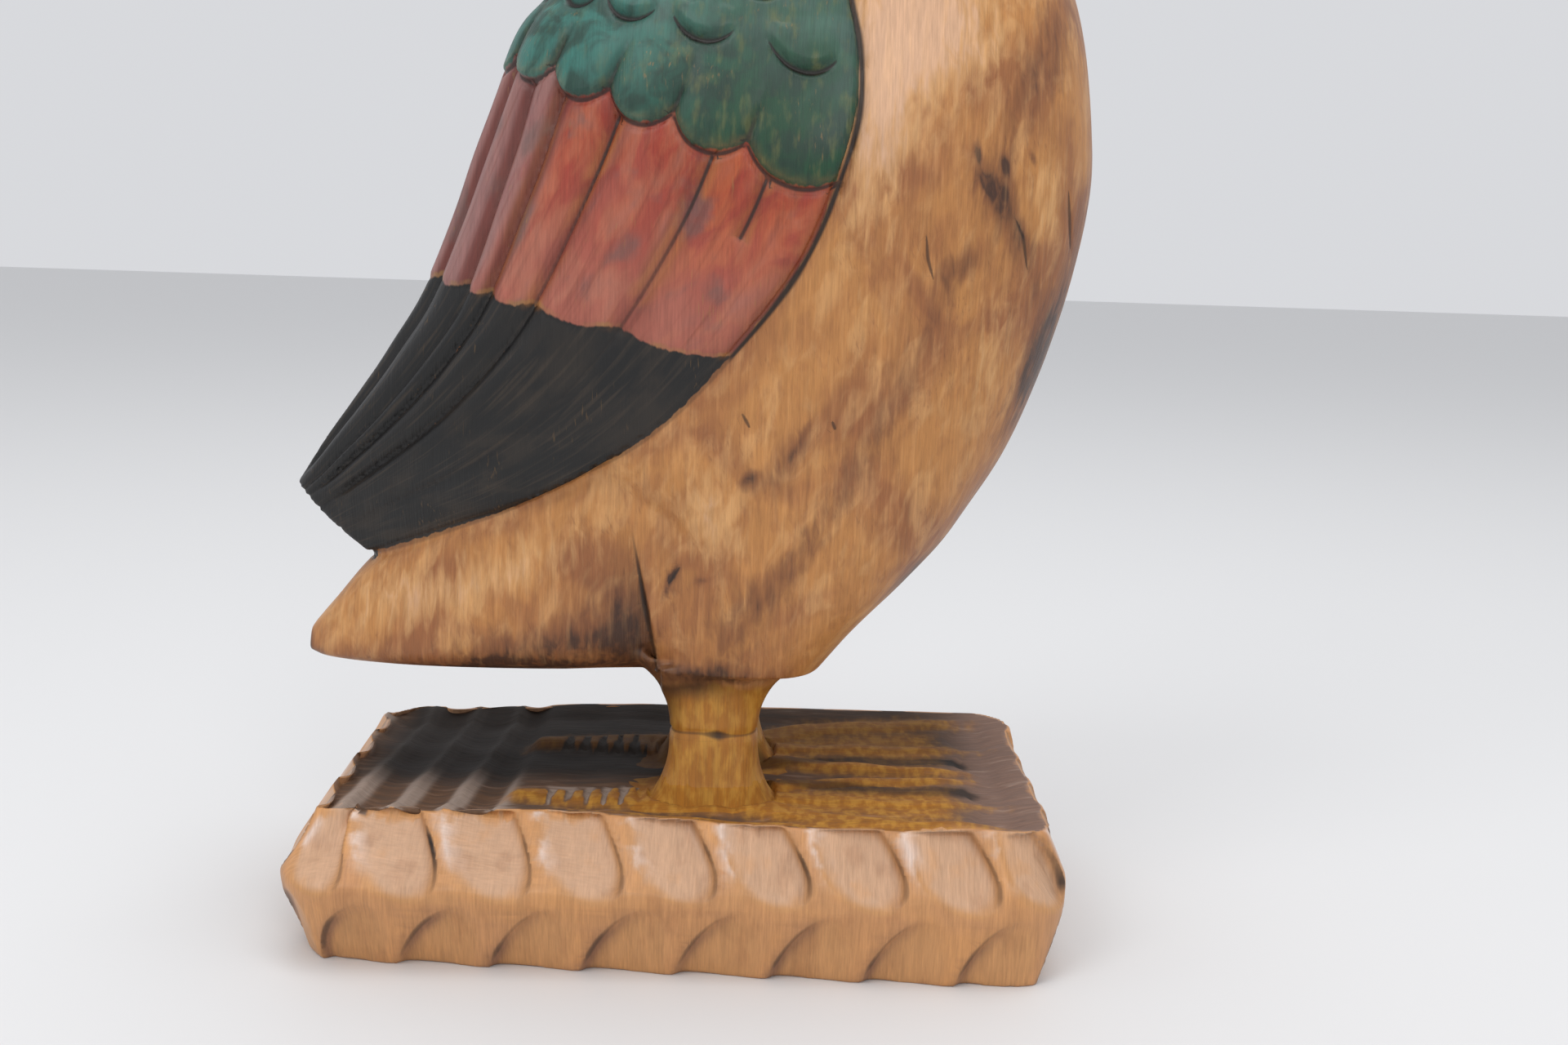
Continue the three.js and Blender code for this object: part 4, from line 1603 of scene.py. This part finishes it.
    def _bare(self, streak: Socket, cloud: Socket) -> Socket:
        """Colour the bare wood of the bird.

        Args:
            streak: The broad streaks of the grain.
            cloud: The slow changes over the block.

        Returns:
            The colour.
        """
        wood = self.wood
        blotch = self.noise((7.0, 7.0, 16.0), 5.0, turn=-18.0, shift=3.0, warp=0.5)
        band = self.noise((10.0, 10.0, 60.0), 3.0, turn=-30.0, shift=9.0, warp=0.4)
        heart = self.frayed(Mark.HEART, self.noise((3.0, 3.0, 12.0), 5.0, shift=5.0, warp=0.6), 1.6)
        rays = self.noise((0.7, 0.7, 5.0), 2.0, turn=14.0, shift=11.0)
        rare = self.step(self.noise((17.0, 17.0, 17.0), 2.0, shift=17.0), 0.48, 0.6)
        fleck = self.noise((3.0, 3.0, 7.0), 4.0, turn=8.0, shift=19.0, warp=0.3)
        return self.over(
            self.mix(self.step(cloud, 0.35, 0.6), wood.brown, wood.honey),
            (self.step(blotch, 0.47, 0.68), 0.45, wood.pale),
            (self.step(band, 0.52, 0.7), 0.4, wood.brown),
            (self.step(heart, 0.1, 0.95), 0.75, wood.heart),
            (self.step(heart, 0.8, 1.4), 0.85, wood.black_heart),
            (self.sum("MULTIPLY", self.step(rays, 0.6, 0.7), rare), 0.3, wood.heart),
            (self.step(fleck, 0.5, 0.68), 0.3, wood.brown),
            # Pale patches where the heart mark is below 0; the palest are a painted sheen on the
            # upper breast
            (self.step(heart, -0.1, -0.7), 0.65, wood.pale),
            (self.step(heart, -0.5, -1.2), 0.7, wood.pale_sheen),
            (self.step(streak, 0.5, 0.7), 0.15, wood.pale),
        )

    def _hewn(self, front: Socket, cloud: Socket) -> Socket:
        """Colour the plinth's sides and its stained ground.

        Args:
            front: How far forward each place is in metres.
            cloud: The slow changes over the block.

        Returns:
            The colour.
        """
        hewn = self.hewn
        gouge = self.mark(Mark.GOUGE)
        patch = self.noise((9.0, 9.0, 14.0), 4.0, shift=21.0)
        rough = self.noise((16.0, 3.0, 6.0), 4.0, shift=23.0)
        between = self.mix(self.step(cloud, 0.35, 0.65), hewn.orange, hewn.brown)
        cut = self.mix(self.step(gouge, 0.36, 0.95), hewn.lower, hewn.pink)
        # Painted highlights on the cuts' rims
        rub = self.sum("MULTIPLY", self.mark(Mark.RUB), self.step(patch, 0.4, 0.6))
        side = self.over(
            self.mix(self.step(gouge, 0.0, 0.33), between, cut),
            (self.step(patch, 0.5, 0.72), 0.3, hewn.dark),
            (self.step(patch, 0.45, 0.25), 0.35, hewn.orange),
            (self.mark(Mark.VALLEY), 0.75, hewn.shade),
            (rub, 0.75, hewn.rubbed_and_highlit),
        )
        ground = self.over(
            self.mix(self.step(rough, 0.35, 0.65), hewn.ground, hewn.ground_brown),
            (self.step(front, 0.078, 0.104), 0.6, hewn.ground_pink),
            (self.step(rough, 0.55, 0.8), 0.5, hewn.ground_pale_and_sheen),
            # Painted sheen on the flutes' ridges, and bare pale wood in the nicks
            (self.step(gouge, 0.0, 0.8), 0.8, hewn.ground_pale_and_sheen),
            # Stain and painted shadow on the ground
            (self.mark(Mark.SOOT), 0.96, hewn.ground_dark_stain_and_shadow),
        )
        return self.mix(self.step(self.frayed(Mark.GROUND, rough, 4.0), -2.2, 1.4), side, ground)

    def _feathers(self, streak: Socket, cloud: Socket) -> Socket:
        """Colour the wings: green, red and black stain.

        Args:
            streak: The broad streaks of the grain.
            cloud: The slow changes over the block.

        Returns:
            The colour.
        """
        # valley holds the painted shade in the hollows
        stain, valley = self.stain, self.mark(Mark.VALLEY)
        place = self.node("ShaderNodeAttribute", attribute_name=WING_PLACE).outputs["Vector"]
        flat = self.node("ShaderNodeSeparateXYZ", {0: place}).outputs
        front = self.step(flat["X"], 0.040, 0.085)
        patch = self.noise((6.0, 13.0, 6.0), 5.0, shift=31.0, warp=0.5, laid=True)
        spread = self.noise((9.0, 16.0, 9.0), 4.0, shift=33.0, warp=0.4, laid=True)
        brushed = self.noise((1.5, 26.0, 10.0), 3.0, shift=53.0, laid=True)
        grey = self.noise((8.0, 12.0, 9.0), 5.0, shift=41.0, laid=True)
        olive = self.step(self.noise((3.0, 3.0, 9.0), 5.0, shift=35.0), 0.5, 0.74)
        worn = self.step(self.noise((0.8, 0.8, 8.0), 3.0, shift=43.0), 0.6, 0.74)
        where = self.step(self.noise((12.0, 12.0, 18.0), 3.0, shift=47.0), 0.5, 0.66)
        wear = self.sum("MULTIPLY", worn, where)
        # How far down the wing each place is, for the painted sheen at the top
        high = self.sum("MULTIPLY_ADD", cloud, 0.12, flat["Y"])
        more_in_front = self.sum("MULTIPLY_ADD", front, 0.7, 0.3)
        green = self.over(
            self.mix(front, stain.green, stain.green_front),
            (self.step(patch, 0.6, 0.36), 0.8, stain.green_deep),
            # Painted shade in the folds of the coverts
            (valley, 0.75, stain.green_deep),
            # Painted sheen towards the top of the coverts
            (self.step(high, 0.15, 0.08), 0.4, stain.green_sheen),
            (self.sum("MULTIPLY", olive, more_in_front), 0.5, stain.green_olive),
        )
        red = self.over(
            self.mix(self.step(patch, 0.4, 0.62), stain.red, stain.orange),
            (self.step(spread, 0.46, 0.66), 0.15, stain.red_pale),
            (self.step(self.mark(Mark.BLACK), -52.0, -8.0), 0.5, stain.red_pale),
            (self.step(self.frayed(Mark.TINT, patch, 1.2), 0.1, 0.9), 0.85, stain.red_dull),
            # Painted shade in the feathers' valleys
            (self.step(valley, 0.08, 0.6), 0.8, stain.red_deep),
            (self.step(grey, 0.56, 0.74), 0.6, stain.grey),
            (self.step(brushed, 0.5, 0.28), 0.3, stain.red_deep),
        )
        black = self.over(
            stain.black,
            (self.step(brushed, 0.5, 0.72), 0.65, stain.black_worn),
            (self.sum("MULTIPLY", self.step(spread, 0.42, 0.66), front), 0.4, stain.black_worn),
            (wear, 0.25, stain.wear),
        )
        to_green = self.frayed(Mark.GREEN, streak, stain.ragged_mm)
        to_black = self.frayed(Mark.BLACK, streak, stain.ragged_mm)
        line = self.sum("MULTIPLY", self.step(to_black, -1.8, -0.7), self.step(patch, 0.35, 0.6))
        rub = self.sum("MULTIPLY", self.mark(Mark.RUB), self.step(patch, 0.35, 0.65))
        colour = self.mix(self.step(to_green, -0.5, 0.3), red, green)
        colour = self.over(colour, (wear, 0.5, stain.wear), (line, 0.6, stain.wear))
        colour = self.mix(self.step(to_black, -0.3, 0.6), colour, black)
        return self.over(colour, (rub, 0.5, stain.rubbed_and_highlit))

    def _ochre(self) -> tuple[Socket, Socket]:
        """Mix the foot paint.

        Returns:
            Its colour, and where it covers the wood.
        """
        thin = self.noise((3.0, 6.0, 8.0), 5.0, shift=51.0)
        ochre = self.mix(self.step(thin, 0.4, 0.65), self.paint.ochre, self.paint.ochre_pale)
        cover = self.step(self.frayed(Mark.OCHRE, thin, 2.6), -1.5, 1.6)
        # The paint darkens where dirt, stain and painted shade lie
        return self.over(ochre, (self.mark(Mark.SOOT), 0.85, self.paint.dirt_and_shade)), cover

    def _bumps(self, *layers: tuple[Socket, float]) -> Socket:
        """Lay fine reliefs over each other.

        Args:
            *layers: For each its height from 0 to 1, and how high 1 is in metres.

        Returns:
            The way that the skin faces with them.
        """
        inputs = {"Strength": self.varnish.bump_strength}
        for height, high in layers:
            made = self.node("ShaderNodeBump", {**inputs, "Distance": high, "Height": height})
            inputs["Normal"] = made.outputs[0]
        return inputs["Normal"]

    def dress(self) -> bpy.types.Material:
        """Lay the finishes over each other and varnish them.

        Returns:
            The finished material.
        """
        wood, varnish, top = self.wood, self.varnish, self.hewn.top
        fibre = self.grain(wood.fibre_mm, 8.0, 0.0)
        streak = self.grain(wood.streak_mm, 22.0, 7.0)
        cloud = self.noise((wood.cloud_mm,) * 3, 3.0, shift=13.0, warp=0.7)
        coords = self.node("ShaderNodeTexCoord").outputs["Object"]
        parts = self.node("ShaderNodeSeparateXYZ", {0: coords}).outputs
        low = self.step(parts["Z"], top, top - 0.0005)
        colour = self.mix(low, self._bare(streak, cloud), self._hewn(parts["X"], cloud))
        winged = self.step(self.frayed(Mark.WING, streak, 2.0), -0.2, 0.3)
        colour = self.mix(winged, colour, self._feathers(streak, cloud))
        ochre, cover = self._ochre()
        above = self.step(parts["Z"], top, top + 0.002)
        # Painted shade and stain darken the bird above the plinth
        sooty_and_shaded = self.sum("MULTIPLY", self.mark(Mark.SOOT), above)
        colour = self.over(
            colour,
            (cover, self.paint.cover, ochre),
            (sooty_and_shaded, 0.55, wood.smoke_and_shade),
            (self.step(self.mark(Mark.EYE), -0.3, 0.3), 1.0, wood.eye),
        )
        grain = self.sum("MULTIPLY_ADD", fibre, 0.6, 0.7)
        grain = self.sum("MULTIPLY", grain, self.sum("MULTIPLY_ADD", streak, 0.34, 0.83))
        inputs = {"Color": colour, "Value": grain}
        colour = self.node("ShaderNodeHueSaturation", inputs).outputs["Color"]
        # Dark lines in the cuts: dirt in the grooves, with painted shade along the plinth's cut
        # walls and at the crease
        line = self.step(self.sum("ABSOLUTE", self.mark(Mark.LINE)), 1.7, 0.4)
        colour = self.mix(self.sum("MULTIPLY", line, self.mark(Mark.DARK)), colour, wood.cut_dirt_and_shade)
        rough = self.sum("MULTIPLY_ADD", cloud, varnish.roughness_change, varnish.roughness)
        rough = self.sum("MULTIPLY_ADD", fibre, 0.12, rough)
        bare = self.step(self.mark(Mark.GROUND), -1.0, 2.0)
        inputs = {
            "Base Color": colour,
            "Roughness": self.sum("MULTIPLY_ADD", bare, varnish.ground_roughness, rough),
            "IOR": varnish.ior,
            "Coat Weight": self.sum("MULTIPLY_ADD", bare, -varnish.coat, varnish.coat),
            "Coat Roughness": varnish.coat_roughness,
            "Normal": self._bumps((fibre, varnish.fibre_bump), (streak, varnish.streak_bump)),
        }
        shader = self.node("ShaderNodeBsdfPrincipled", inputs)
        self.node("ShaderNodeOutputMaterial", {"Surface": shader.outputs[0]})
        return self.material


Zone = tuple["Trunk | Wings | Legs | Plinth", Array, Skin]


class CarvedSwan:
    """The whole carving: rough forms melted into one block, then cut and finished.

    Sizes are in metres. Places nearer to a line than some of its widths keep all their faces.
    """

    FINE_WIDTHS = 2.6
    FINE_DARK = 0.1
    SOFTEN = 0.5
    SOFTEN_TIMES = 4

    def __init__(self) -> None:
        """Gather the sub-assemblies, and how fine the block and the finished piece are."""
        self.trunk, self.wings, self.legs, self.plinth = Trunk(), Wings(), Legs(), Plinth()
        self.parts = (self.trunk, self.wings, self.legs, self.plinth)
        self.grain = 0.0011
        self.most_faces = 194000

    def build(self) -> bpy.types.Object:
        """Make the carving.

        Returns:
            The finished piece.
        """
        block = self._melt()
        self._carve(block)
        piece = self._thin(block)
        self._mark(piece)
        piece.data.materials.append(CarvedWood().dress())
        return piece

    def _applied(self, piece: bpy.types.Object) -> bpy.types.Object:
        """Give a piece's mesh its modifiers for good.

        Args:
            piece: The piece with its modifiers.

        Returns:
            The same piece without them.
        """
        bpy.context.view_layer.update()
        view = bpy.context.evaluated_depsgraph_get()
        old, piece.data = piece.data, bpy.data.meshes.new_from_object(piece.evaluated_get(view))
        piece.modifiers.clear()
        bpy.data.meshes.remove(old)
        return piece

    def _melt(self) -> bpy.types.Object:
        """Join the rough forms into one closed skin and soften it as sanding does.

        Returns:
            The uncut block.
        """
        whole = bmesh.new()
        for form in [form for part in self.parts for form in part.forms()]:
            rough = bpy.data.meshes.new("rough")
            form.to_mesh(rough)
            whole.from_mesh(rough)
            bpy.data.meshes.remove(rough)
            form.free()
        bmesh.ops.transform(whole, matrix=Matrix.Scale(MM, 4), verts=whole.verts)
        mesh = bpy.data.meshes.new("carved_swan_wood")
        whole.to_mesh(mesh)
        whole.free()
        block = add_object("carved_swan_wood", mesh)
        remesh = block.modifiers.new("melt", "REMESH")
        remesh.mode = "VOXEL"
        remesh.voxel_size = self.grain
        soften = block.modifiers.new("soften", "SMOOTH")
        soften.factor = self.SOFTEN
        soften.iterations = self.SOFTEN_TIMES
        return self._applied(block)

    def _read(self, piece: bpy.types.Object) -> Skin:
        """Read the places of a mesh and the way each of them faces.

        Args:
            piece: The piece to read.

        Returns:
            Its places in millimetres.
        """
        mesh = piece.data
        points = np.empty(len(mesh.vertices) * 3, dtype=np.float32)
        normals = np.empty(len(mesh.vertices) * 3, dtype=np.float32)
        mesh.vertices.foreach_get("co", points)
        mesh.vertex_normals.foreach_get("vector", normals)
        return Skin(points.reshape(-1, 3).astype(float) / MM, normals.reshape(-1, 3).astype(float))

    def _zones(self, skin: Skin) -> list[Zone]:
        """Give each part with the places that may be on it."""
        masks = [(part, part.reach(skin)) for part in self.parts]
        return [(part, where, skin.pick(where)) for part, where in masks]

    def _carve(self, block: bpy.types.Object) -> None:
        """Cut the relief into the block, and leave it fine at the lines and knots.

        Args:
            block: The uncut block.
        """
        skin = self._read(block)
        zones = self._zones(skin)
        raised = np.zeros(len(skin.z))
        for part, where, near in zones:
            if part is not self.plinth:
                raised[where] += part.relief(near)
        move = skin.normals * raised[:, None]
        foot = skin.z < self.plinth.cut_below
        move[foot] += self.plinth.shift(skin.pick(foot))
        carved = (skin.points + move) * MM
        block.data.vertices.foreach_set("co", carved.astype(np.float32).ravel())
        block.data.update()
        found = self._survey(zones)
        lined = np.abs(found[Mark.LINE]) < self.FINE_WIDTHS
        lined &= found[Mark.DARK] > self.FINE_DARK
        fine = lined | self.trunk.knotted(skin)
        free = block.vertex_groups.new(name=FREE_GROUP)
        free.add(np.flatnonzero(~fine).tolist(), 1.0, "REPLACE")
        LOG.info("carved %d points, %d of them stay at fine lines", len(fine), int(fine.sum()))

    def _thin(self, block: bpy.types.Object) -> bpy.types.Object:
        """Leave the faces where the carving needs them.

        Args:
            block: The carved block.

        Returns:
            The same with fewer faces.
        """
        faces = sum(len(face.vertices) - 2 for face in block.data.polygons)
        if faces > self.most_faces:
            thin = block.modifiers.new("thin", "DECIMATE")
            thin.ratio = self.most_faces / faces
            thin.vertex_group = FREE_GROUP
            block = self._applied(block)
        block.data.polygons.foreach_set("use_smooth", [True] * len(block.data.polygons))
        LOG.info("kept %d of %d faces", len(block.data.polygons), faces)
        return block

    def _survey(self, zones: list[Zone]) -> Marks:
        """Work out what the finish needs to know of each place.

        Args:
            zones: Each part with the places that may be on it.

        Returns:
            One value for each mark at each place.
        """
        count = len(zones[0][1])
        found = {mark: np.full(count, FAR_OUTSIDE * (mark in DISTANCES)) for mark in Mark}
        pen = Pen(count)
        for part, where, near in zones:
            pen.where = where
            for mark, value in part.marks(near, pen).items():
                larger = np.maximum(found[mark][where], value)
                found[mark][where] = value if mark in SIGNED else larger
        found[Mark.LINE], found[Mark.DARK] = pen.gap / pen.width, pen.dark
        return found

    def _mark(self, piece: bpy.types.Object) -> None:
        """Keep on the mesh what the finish needs to know of its surface.

        Args:
            piece: The carved and thinned piece.
        """
        zones = self._zones(self._read(piece))
        _, by, near = zones[self.parts.index(self.wings)]
        spread = np.zeros((len(by), 3), dtype=np.float32)
        spread[by] = self.wings.spread(near)
        layer = piece.data.attributes.new(WING_PLACE, "FLOAT_VECTOR", "POINT")
        layer.data.foreach_set("vector", spread.ravel())
        for mark, value in self._survey(zones).items():
            layer = piece.data.attributes.new(mark.value, "FLOAT", "POINT")
            layer.data.foreach_set("value", value.astype(np.float32))


def add_object(name: str, data: bpy.types.ID, place: Matrix | None = None) -> bpy.types.Object:
    """Put a new object in the scene.

    Args:
        name: Its name.
        data: Its mesh, camera or light.
        place: Where it is, or the origin.

    Returns:
        The object.
    """
    made = bpy.data.objects.new(name, data)
    made.matrix_world = place or Matrix()
    bpy.context.scene.collection.objects.link(made)
    return made


@dataclass(frozen=True)
class View:
    """The photograph's viewpoint, found from the plinth's corners and edges.

    Its place is in millimetres, its angles are in degrees, and the photo is 1920 pixels wide.
    """

    place: tuple[float, float, float] = (21.55, -585.9, 226.2)
    yaw: float = 0.958
    pitch: float = -9.285
    roll: float = 1.869
    focal_px: float = 2200.0
    width_px: float = 1920.0
    sensor_mm: float = 36.0
    nearest: float = 0.01

    def build(self) -> None:
        """Make the camera."""
        lens = bpy.data.cameras.new("camera")
        lens.sensor_width = self.sensor_mm
        lens.lens = self.focal_px / self.width_px * self.sensor_mm
        lens.clip_start = self.nearest
        turned = Matrix.Translation(Vector(self.place) * MM)
        for angle, axis in ((-self.yaw, "Z"), (90.0 + self.pitch, "X"), (self.roll, "Z")):
            turned = turned @ Matrix.Rotation(math.radians(angle), 4, axis)
        bpy.context.scene.camera = add_object("camera", lens, turned)


@dataclass(frozen=True)
class Lamp:
    """One soft white light that faces the carving, with its place and size in metres."""

    name: str
    place: tuple[float, float, float]
    size: float
    power: float

    def build(self, aim: Vector) -> None:
        """Hang the lamp.

        Args:
            aim: The place that it faces.
        """
        light = bpy.data.lights.new(self.name, "AREA")
        light.size = self.size
        light.energy = self.power
        way = (aim - Vector(self.place)).to_track_quat("-Z", "Y").to_matrix().to_4x4()
        add_object(self.name, light, Matrix.Translation(self.place) @ way)


@dataclass(frozen=True)
class Studio:
    """A plain pale floor under soft light."""

    floor_half: float = 6.0
    floor_colour: str = "dedede"
    floor_roughness: float = 0.6
    sky: tuple[float, float, float, float] = (0.80, 0.81, 0.84, 1.0)
    sky_strength: float = 0.86
    aim: tuple[float, float, float] = (0.0, 0.0, 0.2)
    lamps: tuple[Lamp, ...] = (
        Lamp("window", (-0.9, -1.1, 1.5), 0.8, 8.0),
        Lamp("ceiling", (0.2, 0.0, 1.9), 1.4, 14.0),
        Lamp("softbox", (0.32, -1.25, 0.85), 0.35, 2.6),
    )

    def build(self) -> None:
        """Make the floor, the lights and the pale surroundings."""
        form = bmesh.new()
        bmesh.ops.create_grid(form, x_segments=1, y_segments=1, size=self.floor_half)
        mesh = bpy.data.meshes.new("floor")
        form.to_mesh(mesh)
        form.free()
        # Matt white board: pale and even, with no gloss to draw the eye
        paint = bpy.data.materials.new("matt_white_board")
        paint.use_nodes = True
        surface = paint.node_tree.nodes["Principled BSDF"].inputs
        surface["Base Color"].default_value = linear(self.floor_colour)
        surface["Roughness"].default_value = self.floor_roughness
        mesh.materials.append(paint)
        floor = add_object("floor", mesh)
        for lamp in self.lamps:
            lamp.build(Vector(self.aim))
        world = bpy.data.worlds.new("pale_room")
        world.use_nodes = True
        back = world.node_tree.nodes["Background"].inputs
        back["Color"].default_value = self.sky
        back["Strength"].default_value = self.sky_strength
        bpy.context.scene.world = world
        bpy.context.scene.view_settings.view_transform = "Standard"


def main() -> None:
    """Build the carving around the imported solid, light it and look at it."""
    logging.basicConfig(level=logging.INFO)
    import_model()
    View().build()
    Studio().build()
    swan = CarvedSwan().build()
    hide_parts("carved_swan")
    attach(swan, "root")
    LOG.info("built %s", swan.name)


if __name__ == "__main__":
    main()
